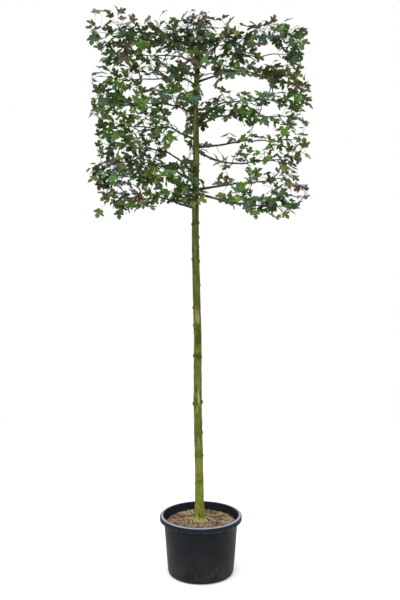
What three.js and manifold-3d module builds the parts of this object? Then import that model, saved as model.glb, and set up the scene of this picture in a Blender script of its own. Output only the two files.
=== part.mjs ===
// Potted espaliered field maple: a tall clear stem in a round nursery pot, with a flat, nearly
// square crown whose boughs are trained level to both sides, one above the other.
// Millimetres, +Z up. The origin is the middle of the pot's flat underside, +X is the right-hand
// side of the crown and the flat of the crown faces -Y.

import * as THREE from 'three';
import { mergeVertices } from 'three/addons/utils/BufferGeometryUtils.js';
import Module from 'manifold-3d';

const wasm = await Module();
wasm.setup();

// Clearance between solids that rest on each other
const SEAT = 0.3;

const POT = {
  height: 378,
  rimRadius: 257,
  lipWidth: 24,
  lipThickness: 6,
  skirtDepth: 30,
  skirtThickness: 5,
  topRadius: 232,
  baseRadius: 207,
  baseRound: 24,
  wall: 5,
  edgeRound: 3,
  facets: 28,
};

const SOIL = { top: 342, edgeDrop: 8, flatRadius: 70, hillRadius: 150 };

// The trunk stands on the soil and tapers evenly to its tip
const TRUNK = {
  foot: SOIL.top + SEAT,
  tip: 3330,
  footRadius: 25.5,
  crownRadius: 18,
  tipRadius: 8,
  crownHeight: 2200,
  flare: 12,
  flareHeight: 26,
  flareRoots: 5,
  flareLobe: 0.3,
  sides: 10,
  rings: 28,
  ringCrowding: 1.7,
};

// How far the trunk leans to the side at a few heights, as height and distance from the middle
const TRUNK_LEAN = [
  [342, -9], [600, -9], [1100, -20], [1480, -19], [1850, -28], [2120, -34], [2450, -31],
  [2640, -27], [2890, -33], [3050, -24], [3270, -12], [3480, -10],
];
const TRUNK_SWAY = { depth: 7, wavelength: 2600 };

// Healed pruning scars: height, turn round the trunk in degrees from +X, and size
const KNOTS = [
  [580, 200, 9], [760, 330, 10], [905, 20, 11], [1088, 175, 12], [1100, 10, 13],
  [1380, 300, 11], [1392, 190, 10], [1580, 185, 9], [1690, 200, 10], [1830, 340, 9],
  [1972, 10, 10], [1985, 190, 10], [2062, 330, 9], [2118, 15, 11], [2196, 180, 9], [2204, 5, 9],
];
const KNOT_SINK = 0.35;

// The boughs of each side from the lowest up: the height of the root on the trunk, two bends as
// distance out from the middle and height, and the height at which the limb ends
const LEFT_LIMBS = [
  { root: 2296, bends: [[115, 2314], [215, 2347]], end: 2354 },
  { root: 2384, bends: [[165, 2464], [250, 2490]], end: 2461 },
  { root: 2441, bends: [[107, 2487], [215, 2538]], end: 2562 },
  { root: 2474, bends: [[95, 2552], [215, 2622]], end: 2674 },
  { root: 2696, bends: [[119, 2733], [196, 2768]], end: 2792 },
  { root: 2839, bends: [[110, 2880], [196, 2903]], end: 2912 },
  { root: 3005, bends: [[70, 3036], [127, 3052]], end: 3050 },
  { root: 3128, bends: [[90, 3166], [154, 3184]], end: 3190 },
  { root: 3239, bends: [[70, 3276], [124, 3296]], end: 3316 },
];
const RIGHT_LIMBS = [
  { root: 2380, bends: [[95, 2348], [188, 2324]], end: 2312 },
  { root: 2401, bends: [[125, 2425], [214, 2437]], end: 2459 },
  { root: 2635, bends: [[60, 2588], [179, 2560]], end: 2596 },
  { root: 2653, bends: [[107, 2664], [220, 2682]], end: 2700 },
  { root: 2768, bends: [[60, 2814], [137, 2834]], end: 2816 },
  { root: 2800, bends: [[60, 2874], [160, 2918]], end: 2932 },
  { root: 3030, bends: [[80, 3064], [171, 3086]], end: 3080 },
  { root: 3141, bends: [[80, 3172], [150, 3188]], end: 3190 },
  { root: 3244, bends: [[80, 3270], [150, 3284]], end: 3296 },
];
const LIMB = {
  leftEnd: 628,
  rightEnd: 602,
  depth: 22,
  nearDepth: 0.6,
  wanderUp: 9,
  wanderDepth: 6,
  rootRadius: 8.5,
  thinning: 0.3,
  collar: 3,
  collarLength: 0.035,
  endRadius: 2.4,
  taper: 0.8,
  boughSides: 5,
  boughRings: 4,
  stemSides: 3,
  stemRings: 6,
  pointSpacing: 9,
};
// Share of a limb's line, from the trunk, that is its bough; the rest is the stem of its foliage
const BOUGH_SHARE = { left: 0.36, right: 0.46 };

// The space of the crown, a flat screen to both sides of the trunk
const CROWN = {
  left: -688,
  right: 664,
  bottom: 2198,
  top: 3446,
  halfDepth: 150,
  besideTrunk: 30,
  tuftHalf: 98,
  tuftFrom: 3300,
  tuftTop: 3475,
  margin: 1.5,
};

// Open places in the crown, as middle and half sizes
const OPENINGS = [
  { x: -302, z: 3037, wide: 50, high: 34 }, { x: 42, z: 3036, wide: 36, high: 46 },
  { x: 262, z: 3010, wide: 150, high: 42 }, { x: 402, z: 3176, wide: 84, high: 50 },
  { x: 424, z: 2868, wide: 54, high: 30 }, { x: -131, z: 2810, wide: 44, high: 46 },
  { x: 66, z: 2745, wide: 52, high: 66 }, { x: 206, z: 2758, wide: 54, high: 44 },
  { x: 363, z: 2756, wide: 54, high: 40 }, { x: -143, z: 2640, wide: 62, high: 60 },
  { x: 40, z: 2500, wide: 38, high: 84 }, { x: 209, z: 2500, wide: 52, high: 36 },
  { x: -437, z: 2420, wide: 36, high: 22 }, { x: -198, z: 2420, wide: 44, high: 22 },
];

// Side shoots of the foliage. Their direction has a share along the limb, away from the crown's
// middle and up or down; the first few of each stem run back over and under its bough.
const SHOOT = {
  spacing: 96,
  length: 125,
  lengthSpread: 0.35,
  shortest: 34,
  placeFrom: 0.25,
  placeSpread: 0.5,
  along: [0.25, 1],
  outward: [-0.15, 0.55],
  upward: 0.95,
  backward: 2,
  backAlong: [-1.1, -1.5],
  backUpward: 0.8,
  backStep: 0.06,
  rise: 0.1,
  rootRadius: 3.6,
  taper: 0.4,
  sides: 3,
  rings: 2,
  clearance: 6,
};

const TUFT = {
  height: 76, taper: 0.6, shoots: 6, firstAt: 0.3, turn: 2.4, rise: 0.7, length: 84, seed: 79,
};

// A leaf of three lobes, as shares of its length; its sides are lifted over the rib. Its direction
// has a share along the twig, and its face turns to the crown's outside.
const LEAF = {
  length: 104,
  lengthSpread: 0.2,
  lobeAt: 0.48,
  lobeOut: 0.43,
  notchAt: 0.64,
  notchOut: 0.2,
  lift: 0.05,
  sink: 0.5,
  along: [0.2, 0.9],
  flatten: 0.6,
  droop: 0.25,
  faceAside: [-0.6, 0.6],
  faceUp: [-0.2, 0.7],
  firstAt: 34,
  step: 42,
  stemStep: 60,
  lastAt: 0.95,
  apart: 42,
  atRoot: 16,
  tries: 7,
  clearance: 2,
  samples: [0.2, 0.45, 0.7, 1],
};
// The faces of a leaf, on its root, left lobe, left notch, tip, right notch and right lobe:
// four below, along the rib, and four above
const LEAF_FACES = [
  [0, 2, 3], [0, 3, 4], [0, 1, 2], [0, 4, 5], [2, 4, 3], [1, 4, 2], [1, 5, 4], [0, 5, 1],
];

// Details smaller than this are left out of a joined body, and the share of a line that its
// direction is measured over
const SMALLEST_DETAIL = 0.1;
const SMALL_STEP = 0.01;

const SEEDS = { limbs: 500, side: 1000, limb: 20 };

const FINISHES = {
  pot: { color: '#2f3336', roughness: 0.5 },
  soil: { color: '#85704f', roughness: 1 },
  trunk: { color: '#6b7034', roughness: 0.9 },
  bough: { color: '#5b5140', roughness: 0.9 },
  foliage: { color: '#5a6946', roughness: 0.8 },
};

const UP = new THREE.Vector3(0, 0, 1);
const DEPTH = new THREE.Vector3(0, 1, 0);
const degrees = THREE.MathUtils.degToRad;

/** Seeded random numbers between 0 and 1, the same on every run. */
function randomFrom(seed) {
  let state = seed >>> 0;
  return () => {
    state = (state + 0x6d2b79f5) >>> 0;
    let mixed = Math.imul(state ^ (state >>> 15), state | 1);
    mixed ^= mixed + Math.imul(mixed ^ (mixed >>> 7), mixed | 61);
    return ((mixed ^ (mixed >>> 14)) >>> 0) / 4294967296;
  };
}

/** A number between low and high, from a share of 0 to 1. */
function between(low, high, share) {
  return low + (high - low) * share;
}

/** A number of a range of [low, high], from a share of 0 to 1. */
function pick([low, high], share) {
  return between(low, high, share);
}

/** The value at a place on a broken line of [place, value] points, held level past its ends. */
function alongPoints(points, place) {
  const next = points.findIndex(([end]) => end >= place);
  if (next === 0) return points[0][1];
  if (next < 0) return points[points.length - 1][1];
  const [start, low] = points[next - 1];
  const [end, high] = points[next];
  return between(low, high, (place - start) / (end - start));
}

/** A closed body for joining and cutting, from a closed three.js geometry. */
function solidFrom(geometry) {
  geometry.deleteAttribute('normal');
  geometry.deleteAttribute('uv');
  const merged = mergeVertices(geometry, 1e-4);
  const triVerts = new Uint32Array(merged.index.array);
  const vertProperties = new Float32Array(merged.attributes.position.array);
  const solid = new wasm.Manifold(new wasm.Mesh({ numProp: 3, vertProperties, triVerts }));
  if (solid.volume() > 0) return solid;
  for (let i = 0; i < triVerts.length; i += 3) triVerts.subarray(i, i + 2).reverse();
  return new wasm.Manifold(new wasm.Mesh({ numProp: 3, vertProperties, triVerts }));
}

/**
 * The largest body of a solid, without details too small to see: loose scrap is dropped and a
 * sealed hollow is filled.
 */
function mainBody(solid) {
  const bodies = solid.asOriginal().simplify(SMALLEST_DETAIL).decompose();
  return bodies.reduce((largest, body) => (body.volume() > largest.volume() ? body : largest));
}

/** A named mesh with a plain finish, from a solid. */
function meshFrom(name, solid, finish) {
  const { vertProperties, triVerts } = solid.getMesh();
  const geometry = new THREE.BufferGeometry();
  geometry.setAttribute('position', new THREE.BufferAttribute(vertProperties, 3));
  geometry.setIndex(new THREE.BufferAttribute(triVerts, 1));
  geometry.computeVertexNormals();
  const material = new THREE.MeshStandardMaterial({ ...finish, metalness: 0, flatShading: true });
  const mesh = new THREE.Mesh(geometry, material);
  mesh.name = name;
  return mesh;
}

/**
 * A round limb along a line. The line gives a point for a share of 0 to 1 of its way, and the
 * radius is a function of that share and of the angle round the limb. A pointed limb ends in one
 * point, and the rings of a level one all lie flat.
 */
function limbSolid(line, radiusAt, sides, rings, { pointed = false, level = false } = {}) {
  const geometry = new THREE.CylinderGeometry(pointed ? 0 : 1, 1, 1, sides, rings);
  const position = geometry.attributes.position;
  const run = line(1).sub(line(0)).normalize();
  const across = Math.abs(run.y) < 0.8 ? DEPTH : UP;
  const corner = new THREE.Vector3();
  for (let i = 0; i < position.count; i += 1) {
    corner.fromBufferAttribute(position, i);
    const share = corner.y + 0.5;
    const rim = Math.hypot(corner.x, corner.z) > 1e-6 ? 1 : 0;
    const angle = Math.atan2(corner.z, corner.x);
    const ahead = line(Math.min(1, share + SMALL_STEP));
    const tangent = level ? UP : ahead.sub(line(Math.max(0, share - SMALL_STEP)));
    const first = new THREE.Vector3().crossVectors(across, tangent).normalize();
    const second = new THREE.Vector3().crossVectors(tangent, first).normalize();
    const radius = rim * radiusAt(share, angle);
    corner.copy(line(share));
    corner.addScaledVector(first, radius * Math.cos(angle));
    corner.addScaledVector(second, radius * Math.sin(angle));
    position.setXYZ(i, corner.x, corner.y, corner.z);
  }
  return solidFrom(geometry);
}

/** A body of revolution about +Z, from [radius, height] points that start and end on the axis. */
function turnedSolid(profile, facets) {
  const geometry = new THREE.LatheGeometry(profile.map(([r, z]) => new THREE.Vector2(r, z)), facets);
  geometry.rotateX(Math.PI / 2);
  return solidFrom(geometry);
}

/** Points of a round edge between two directions in degrees, as [radius, height]. */
function roundEdge([centreRadius, centreHeight], radius, [from, to], steps) {
  return Array.from({ length: steps + 1 }, (_, i) => {
    const angle = degrees(between(from, to, i / steps));
    return [centreRadius + radius * Math.cos(angle), centreHeight + radius * Math.sin(angle)];
  });
}

/** The radius of the inside of the pot's wall at a height. */
function potInside(height) {
  return between(POT.baseRadius, POT.topRadius, height / POT.height) - POT.wall;
}

function makePot() {
  const { height, rimRadius, edgeRound, baseRadius, baseRound, wall } = POT;
  const lipUnder = height - POT.lipThickness;
  const skirtInside = rimRadius - POT.skirtThickness;
  const profile = [
    [0, 0],
    ...roundEdge([baseRadius - baseRound, baseRound], baseRound, [-90, 0], 3),
    [POT.topRadius, lipUnder],
    [skirtInside, lipUnder],
    [skirtInside, height - POT.skirtDepth],
    [rimRadius, height - POT.skirtDepth],
    ...roundEdge([rimRadius - edgeRound, height - edgeRound], edgeRound, [0, 90], 2),
    [rimRadius - POT.lipWidth, height],
    [potInside(height - edgeRound), height - edgeRound],
    [potInside(baseRound), baseRound],
    ...roundEdge([baseRadius - baseRound, baseRound], baseRound - wall, [-30, -90], 2),
    [0, wall],
  ];
  return meshFrom('pot', turnedSolid(profile, POT.facets), FINISHES.pot);
}

function makeSoil() {
  const { baseRadius, baseRound, wall } = POT;
  const edgeHeight = SOIL.top - SOIL.edgeDrop;
  const profile = [
    [0, wall + SEAT],
    ...roundEdge([baseRadius - baseRound, baseRound], baseRound - wall - SEAT, [-90, -30], 2),
    [potInside(baseRound) - SEAT, baseRound],
    [potInside(edgeHeight) - SEAT, edgeHeight],
    [SOIL.hillRadius, SOIL.top - SOIL.edgeDrop / 3],
    [SOIL.flatRadius, SOIL.top],
    [0, SOIL.top],
  ];
  return meshFrom('soil', turnedSolid(profile, POT.facets), FINISHES.soil);
}

/** The middle of the trunk at a height. */
function trunkMiddle(height) {
  const sway = TRUNK_SWAY.depth * Math.sin((2 * Math.PI * (height - TRUNK.foot)) / TRUNK_SWAY.wavelength);
  return new THREE.Vector3(alongPoints(TRUNK_LEAN, height), sway, height);
}

/** The trunk's radius at a height and an angle round it, with the flare of its roots. */
function trunkRadius(height, angle = 0) {
  const taper = [
    [TRUNK.foot, TRUNK.footRadius], [TRUNK.crownHeight, TRUNK.crownRadius],
    [TRUNK.tip, TRUNK.tipRadius],
  ];
  const flare = TRUNK.flare * Math.exp((TRUNK.foot - height) / TRUNK.flareHeight);
  const lobes = 1 + TRUNK.flareLobe * Math.cos(TRUNK.flareRoots * angle);
  return alongPoints(taper, height) + flare * lobes;
}

/** The trunk's body, or with growth the space that its neighbours keep clear of. */
function trunkSolid(growth = 0) {
  const heightAt = (share) => between(TRUNK.foot, TRUNK.tip, share ** TRUNK.ringCrowding);
  return limbSolid(
    (share) => trunkMiddle(heightAt(share)),
    (share, angle) => trunkRadius(heightAt(share), angle) + growth,
    TRUNK.sides, TRUNK.rings, { level: true },
  );
}

function knotSolid([height, turn, size]) {
  const knot = new THREE.SphereGeometry(size, 5, 3);
  const middle = trunkMiddle(height);
  const reach = trunkRadius(height) - KNOT_SINK * size;
  const angle = degrees(turn);
  knot.translate(middle.x + reach * Math.cos(angle), middle.y + reach * Math.sin(angle), height);
  return solidFrom(knot);
}

function makeTrunk() {
  const body = wasm.Manifold.union([trunkSolid(), ...KNOTS.map(knotSolid)]);
  return meshFrom('trunk', mainBody(body), FINISHES.trunk);
}

/**
 * One limb's whole line and size, from the trunk to the edge of the crown. Limbs run by turns in
 * the front and the back half of the crown, and wander a little by their own random numbers.
 */
function limbFrom({ root, bends, end }, side, order) {
  const seed = SEEDS.limbs + SEEDS.side * (side + 1) + SEEDS.limb * order;
  const random = randomFrom(seed);
  const wander = (size) => size * (2 * random() - 1);
  const face = order % 2 === 0 ? -1 : 1;
  const depth = () => face * LIMB.depth + wander(LIMB.wanderDepth);
  const start = trunkMiddle(root);
  const [near, far] = bends;
  const reach = side < 0 ? LIMB.leftEnd : LIMB.rightEnd;
  const halfway = between(far[0], reach, 0.5);
  const points = [
    start,
    new THREE.Vector3(side * near[0], between(start.y, depth(), LIMB.nearDepth), near[1]),
    new THREE.Vector3(side * far[0], depth(), far[1]),
    new THREE.Vector3(side * halfway, depth(), between(far[1], end, 0.5) + wander(LIMB.wanderUp)),
    new THREE.Vector3(side * reach, depth(), end),
  ];
  const curve = new THREE.CatmullRomCurve3(points, false, 'catmullrom', 0.5);
  const rootRadius = LIMB.rootRadius * (1 - (LIMB.thinning * order) / (LEFT_LIMBS.length - 1));
  return {
    side,
    face,
    seed,
    boughShare: side < 0 ? BOUGH_SHARE.left : BOUGH_SHARE.right,
    line: (share) => curve.getPoint(share),
    radius: (share) => between(rootRadius, LIMB.endRadius, share ** LIMB.taper)
      + LIMB.collar * Math.exp(-share / LIMB.collarLength),
    heights: points.map((point) => [side * point.x, point.z]),
  };
}

function limbsOf(rows, side) {
  return rows.map((row, order) => limbFrom(row, side, order));
}

function makeBough(name, limb) {
  const part = (share) => limb.line(share * limb.boughShare);
  const radius = (share) => limb.radius(share * limb.boughShare);
  const whole = limbSolid(part, radius, LIMB.boughSides, LIMB.boughRings);
  const bough = mainBody(whole.subtract(trunkSolid(SEAT)));
  return meshFrom(name, bough, FINISHES.bough);
}

/**
 * The space that one limb's foliage keeps to: its half of the crown's depth, between the limbs
 * of the same half below and above it, clear of the trunk and of the tuft on the trunk's tip.
 */
function spaceOf(limbs, order) {
  const limb = limbs[order];
  const edge = (other, limit, out) => {
    if (!other) return limit;
    return (alongPoints(limb.heights, out) + alongPoints(other.heights, out)) / 2;
  };
  return (point) => {
    const out = limb.side * point.x;
    const low = edge(limbs[order - 2], CROWN.bottom, out) + CROWN.margin;
    const high = edge(limbs[order + 2], CROWN.top, out) - CROWN.margin;
    const beside = limb.side * (point.x - trunkMiddle(point.z).x);
    const clear = point.z > CROWN.tuftFrom ? CROWN.tuftHalf : CROWN.besideTrunk;
    const deep = limb.face * point.y;
    return point.z > low && point.z < high && beside > clear && deep > CROWN.margin
      && deep < CROWN.halfDepth && point.x > CROWN.left && point.x < CROWN.right;
  };
}

/** The space of the tuft on the trunk's tip. */
function tuftSpace(point) {
  const beside = Math.abs(point.x - trunkMiddle(point.z).x);
  return point.z > CROWN.tuftFrom + CROWN.margin && point.z < CROWN.tuftTop
    && beside < CROWN.tuftHalf - CROWN.margin && Math.abs(point.y) < CROWN.tuftHalf;
}

/** Whether a point lies in one of the crown's open places. */
function inOpening(point) {
  return OPENINGS.some(({ x, z, wide, high }) => Math.hypot((point.x - x) / wide, (point.z - z) / high) < 1);
}

/** Points along a line with the radius there, which other twigs and leaves keep clear of. */
function pointsAlong(line, radius, from = 0, to = 1) {
  const count = Math.ceil((lineLength(line) * (to - from)) / LIMB.pointSpacing);
  return Array.from({ length: count + 1 }, (_, i) => {
    const share = between(from, to, i / count);
    return { at: line(share), radius: radius(share) };
  });
}

/** The length of a line, by straight steps. */
function lineLength(line) {
  const steps = 12;
  let length = 0;
  for (let i = 0; i < steps; i += 1) length += line(i / steps).distanceTo(line((i + 1) / steps));
  return length;
}

/** The side shoots of a stem: where each starts, its direction and its length. */
function shootsOf({ line, length, side, face, backLength }, random) {
  const count = Math.round(length / SHOOT.spacing) + SHOOT.backward;
  return Array.from({ length: count }, (_, i) => {
    const [place, swing, lean, size] = [random(), random(), random(), random()];
    const back = i < SHOOT.backward;
    const upward = i % 2 === 0 ? 1 : -1;
    const direction = new THREE.Vector3(
      side * pick(back ? SHOOT.backAlong : SHOOT.along, lean),
      face * pick(SHOOT.outward, swing),
      upward * (back ? SHOOT.backUpward : SHOOT.upward),
    ).normalize();
    const slot = i - SHOOT.backward + SHOOT.placeFrom + SHOOT.placeSpread * place;
    const share = back ? SHOOT.backStep * (i + 1) : slot / (count - SHOOT.backward);
    const spread = 1 - SHOOT.lengthSpread + 2 * SHOOT.lengthSpread * size;
    return { start: line(share), direction, length: back ? backLength : SHOOT.length * spread };
  });
}

/** A shoot's line: straight, and lifted a little towards its tip. */
function shootLine({ start, direction, length }) {
  return (share) => start.clone().addScaledVector(direction, share * length)
    .addScaledVector(UP, SHOOT.rise * length * share * share);
}

/** The share of a shoot that stays in its space and clear of the limbs. */
function shootShare(line, space) {
  const steps = 12;
  for (let i = 1; i <= steps; i += 1) {
    const point = line(i / steps);
    const near = space.limbs.some(({ at, radius }) => at.distanceTo(point) < radius + SHOOT.clearance);
    if (near || !space.holds(point)) return (i - 1) / steps;
  }
  return 1;
}

/** The corners of a leaf, in the order that its faces name them. */
function leafCorners(root, along, face, length) {
  const across = new THREE.Vector3().crossVectors(face, along).normalize();
  const place = (out, aside, lift) => root.clone().addScaledVector(along, out * length)
    .addScaledVector(across, aside * length).addScaledVector(face, lift * length);
  return [
    root.clone().addScaledVector(along, -LEAF.sink),
    place(LEAF.lobeAt, LEAF.lobeOut, LEAF.lift),
    place(LEAF.notchAt, LEAF.notchOut, LEAF.lift),
    place(1, 0, 0),
    place(LEAF.notchAt, -LEAF.notchOut, LEAF.lift),
    place(LEAF.lobeAt, -LEAF.lobeOut, LEAF.lift),
  ];
}

function leafSolid(corners) {
  const geometry = new THREE.BufferGeometry().setFromPoints(corners);
  geometry.setIndex(LEAF_FACES.flat());
  return solidFrom(geometry);
}

/** Points over the edges and the rib of a leaf. */
function leafSamples(corners) {
  const [root, left, leftNotch, tip, rightNotch, right] = corners;
  const lines = [[root, left], [leftNotch, tip], [root, tip], [root, right], [rightNotch, tip]];
  const inner = lines.flatMap(([from, to]) => LEAF.samples.map((share) => from.clone().lerp(to, share)));
  return [...inner, leftNotch, rightNotch];
}

/** The two halves of a leaf's blade. */
function leafHalves([root, left, , tip, , right]) {
  return [new THREE.Triangle(root, left, tip), new THREE.Triangle(root, tip, right)];
}

/** Whether a point is closer to a leaf's blade than a distance. */
function nearBlade(halves, point, distance) {
  const nearest = new THREE.Vector3();
  return halves.some((half) => half.closestPointToPoint(point, nearest).distanceTo(point) < distance);
}

/** Whether a leaf fits: in its space, out of the open places, and clear of all that is there. */
function leafFits(leaf, root, space) {
  const reach = LEAF.length * (1 + LEAF.lengthSpread);
  const clearOf = ({ at, radius }) => {
    const apart = at.distanceTo(leaf.middle) > reach || at.distanceTo(root) < LEAF.atRoot;
    return apart || !nearBlade(leaf.halves, at, radius + LEAF.clearance);
  };
  return leaf.samples.every((point) => space.holds(point) && !inOpening(point))
    && space.leaves.every((other) => {
      if (other.middle.distanceTo(leaf.middle) > reach) return true;
      if (other.middle.distanceTo(leaf.middle) < LEAF.apart) return false;
      return !other.samples.some((point) => nearBlade(leaf.halves, point, LEAF.clearance))
        && !leaf.samples.some((point) => nearBlade(other.halves, point, LEAF.clearance));
    })
    && space.limbs.every(clearOf) && space.twigs.every(clearOf);
}

/** One leaf that is tried at a root, from six random numbers. */
function tryLeaf(root, run, turn, face, draws) {
  const first = new THREE.Vector3().crossVectors(Math.abs(run.y) < 0.8 ? DEPTH : UP, run).normalize();
  const second = new THREE.Vector3().crossVectors(run, first);
  const along = run.clone().multiplyScalar(pick(LEAF.along, draws[1]))
    .addScaledVector(first, Math.cos(turn)).addScaledVector(second, Math.sin(turn));
  along.y *= LEAF.flatten;
  along.z -= LEAF.droop * draws[2];
  along.normalize();
  const facing = new THREE.Vector3(pick(LEAF.faceAside, draws[3]), face, pick(LEAF.faceUp, draws[4]));
  facing.addScaledVector(along, -facing.dot(along)).normalize();
  const size = LEAF.length * (1 - LEAF.lengthSpread + 2 * LEAF.lengthSpread * draws[5]);
  const corners = leafCorners(root, along, facing, size);
  const middle = root.clone().addScaledVector(along, size * LEAF.lobeAt);
  return { corners, middle, samples: leafSamples(corners), halves: leafHalves(corners) };
}

/** Leaves in opposite pairs along a twig, each pair turned a quarter from the last. */
function addLeaves(line, length, firstAt, step, space, random) {
  const pairs = Math.max(1, Math.floor((length - firstAt) / step) + 1);
  for (let pair = 0; pair < pairs; pair += 1) {
    const share = Math.min(LEAF.lastAt, (firstAt + pair * step) / length);
    const root = line(share);
    const run = line(share + SMALL_STEP).sub(line(share - SMALL_STEP)).normalize();
    for (const opposite of [0, Math.PI]) {
      for (let attempt = 0; attempt < LEAF.tries; attempt += 1) {
        const draws = Array.from({ length: 6 }, random);
        const turn = (pair * Math.PI) / 2 + opposite + attempt + draws[0];
        const leaf = tryLeaf(root, run, turn, space.face, draws);
        if (leafFits(leaf, root, space)) {
          space.leaves.push(leaf);
          break;
        }
      }
    }
  }
}

/** One mass of foliage: a stem, its side shoots and their leaves, fused in one body. */
function growMass(stem, shoots, space, seed) {
  const random = randomFrom(seed);
  const solids = [limbSolid(stem.line, stem.radius, LIMB.stemSides, LIMB.stemRings)];
  const twigs = [];
  shoots.forEach((shoot) => {
    const whole = shootLine(shoot);
    const share = shootShare(whole, space);
    const length = share * shoot.length;
    if (length < SHOOT.shortest) return;
    const line = (s) => whole(s * share);
    const radius = (s) => SHOOT.rootRadius * (1 - SHOOT.taper * s);
    solids.push(limbSolid(line, radius, SHOOT.sides, SHOOT.rings, { pointed: true }));
    space.twigs.push(...pointsAlong(line, radius, 0.1));
    twigs.push({ line, length });
  });
  space.twigs.push(...pointsAlong(stem.line, stem.radius));
  twigs.forEach(({ line, length }) => addLeaves(line, length, LEAF.firstAt, LEAF.step, space, random));
  addLeaves(stem.line, stem.length, LEAF.firstAt, LEAF.stemStep, space, random);
  solids.push(...space.leaves.map((leaf) => leafSolid(leaf.corners)));
  return mainBody(wasm.Manifold.union(solids));
}

/** The foliage of one limb, on the stem that carries the limb on from its bough's tip. */
function makeFoliage(name, limbs, order, limbPoints) {
  const limb = limbs[order];
  const tip = limb.line(limb.boughShare);
  const speed = limb.line(limb.boughShare + SMALL_STEP).distanceTo(tip) / SMALL_STEP;
  const start = limb.boughShare + SEAT / speed;
  const line = (share) => limb.line(between(start, 1, share));
  const stem = {
    line,
    radius: (share) => limb.radius(between(start, 1, share)),
    length: lineLength(line),
    side: limb.side,
    face: limb.face,
    backLength: limb.side * (line(0).x - trunkMiddle(line(0).z).x) - CROWN.besideTrunk,
  };
  const space = {
    holds: spaceOf(limbs, order), face: limb.face, limbs: limbPoints, twigs: [], leaves: [],
  };
  const shoots = shootsOf(stem, randomFrom(limb.seed + 1));
  return meshFrom(name, growMass(stem, shoots, space, limb.seed + 2), FINISHES.foliage);
}

/** The tuft that grows on from the trunk's tip. */
function makeTuft(name, limbPoints) {
  const foot = trunkMiddle(TRUNK.tip + SEAT);
  const line = (share) => foot.clone().addScaledVector(UP, share * TUFT.height);
  const radius = (share) => TRUNK.tipRadius * (1 - TUFT.taper * share);
  const shoots = Array.from({ length: TUFT.shoots }, (_, i) => {
    const turn = i * TUFT.turn;
    const direction = new THREE.Vector3(Math.cos(turn), Math.sin(turn), TUFT.rise).normalize();
    return { start: line((i + TUFT.firstAt) / TUFT.shoots), direction, length: TUFT.length };
  });
  const space = { holds: tuftSpace, face: -1, limbs: limbPoints, twigs: [], leaves: [] };
  const stem = { line, radius, length: TUFT.height };
  return meshFrom(name, growMass(stem, shoots, space, TUFT.seed), FINISHES.foliage);
}

const limbSides = { left: limbsOf(LEFT_LIMBS, -1), right: limbsOf(RIGHT_LIMBS, 1) };
const crownTrunk = (share) => trunkMiddle(between(CROWN.bottom, TRUNK.tip, share));
const limbPoints = [
  ...pointsAlong(crownTrunk, (share) => trunkRadius(crownTrunk(share).z)),
  ...Object.values(limbSides).flat()
    .flatMap(({ line, radius, boughShare }) => pointsAlong(line, radius, 0, boughShare)),
];

const tree = new THREE.Group();
tree.add(makePot(), makeSoil(), makeTrunk(), makeTuft('foliage_top', limbPoints));
for (const [sideName, limbs] of Object.entries(limbSides)) {
  limbs.forEach((limb, order) => {
    tree.add(makeBough(`bough_${sideName}_${order + 1}`, limb));
    tree.add(makeFoliage(`foliage_${sideName}_${order + 1}`, limbs, order, limbPoints));
  });
}

export default tree;
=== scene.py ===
"""Potted espaliered field maple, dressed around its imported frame.

The trunk and the boughs get the relief of their bark. Each mass of foliage is grown again by the
source's seeded rule, and carried on to fine twigs, leaf stalks and lobed leaves. The pot and its
soil get their real shapes. Sizes are in millimetres until a mesh is written, which is in metres.
The origin is the middle of the pot's flat underside, +Z is up and the flat of the crown faces -Y.
"""

import logging
import math
from collections.abc import Callable, Iterable, Iterator, Sequence
from dataclasses import dataclass, field
from enum import Enum

import bmesh
import bpy
import numpy as np
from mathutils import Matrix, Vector, noise


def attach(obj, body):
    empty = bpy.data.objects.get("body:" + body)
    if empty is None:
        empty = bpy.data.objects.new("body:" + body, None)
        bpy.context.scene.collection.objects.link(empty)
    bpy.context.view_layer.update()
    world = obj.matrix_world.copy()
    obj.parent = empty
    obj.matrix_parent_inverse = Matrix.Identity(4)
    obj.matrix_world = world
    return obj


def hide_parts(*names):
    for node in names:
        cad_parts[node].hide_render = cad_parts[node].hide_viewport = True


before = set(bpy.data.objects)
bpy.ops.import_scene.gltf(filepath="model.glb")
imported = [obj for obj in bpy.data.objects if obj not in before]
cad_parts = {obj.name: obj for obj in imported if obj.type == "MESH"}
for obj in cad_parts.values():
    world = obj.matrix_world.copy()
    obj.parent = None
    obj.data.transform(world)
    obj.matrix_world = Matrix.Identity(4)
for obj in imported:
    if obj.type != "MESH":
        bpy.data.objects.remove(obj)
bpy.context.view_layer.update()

log = logging.getLogger("field_maple")

BODY = "root"
METRE = 0.001
# How close two points of a mesh are, in metres or in lengths of a leaf, before they are joined
MERGE = 1e-6
LEAF_MERGE = 1e-4
# The name under which a mesh keeps each point's place on the small shape that it was copied from
PLACE_ON_SHAPE = "place_on_shape"
UP = np.array((0.0, 0.0, 1.0))
DEPTH = np.array((0.0, 1.0, 0.0))
ALONG_DEPTH = 0.8
# How far to either side of a place a direction is read, as a share of a limb and of a twig
LIMB_STEP = 0.01
TWIG_STEP = 0.02
WHITE = (1, 1, 1, 1)

Colour = tuple[float, float, float]
Range = tuple[float, float]
Table = tuple[tuple[float, ...], ...]
# Heights of soft lumps, each with their size along the three axes
Lumps = tuple[tuple[float, tuple[float, float, float]], ...]
# Points or numbers at shares of a line, and numbers at shares of a limb and turns round it
Line = Callable[[np.ndarray], np.ndarray]
Around = Callable[[np.ndarray, np.ndarray], np.ndarray]


def srgb(red: int, green: int, blue: int) -> Colour:
    """The linear colour of three screen values from 0 to 255."""
    shares = (red / 255, green / 255, blue / 255)
    return tuple(s / 12.92 if s <= 0.04045 else ((s + 0.055) / 1.055) ** 2.4 for s in shares)


def between(low: float, high: float, share: float) -> float:
    """A number between low and high, from a share of 0 to 1."""
    return low + (high - low) * share


def held(value: float) -> float:
    """A number held between 0 and 1."""
    return max(0.0, min(1.0, value))


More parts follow.
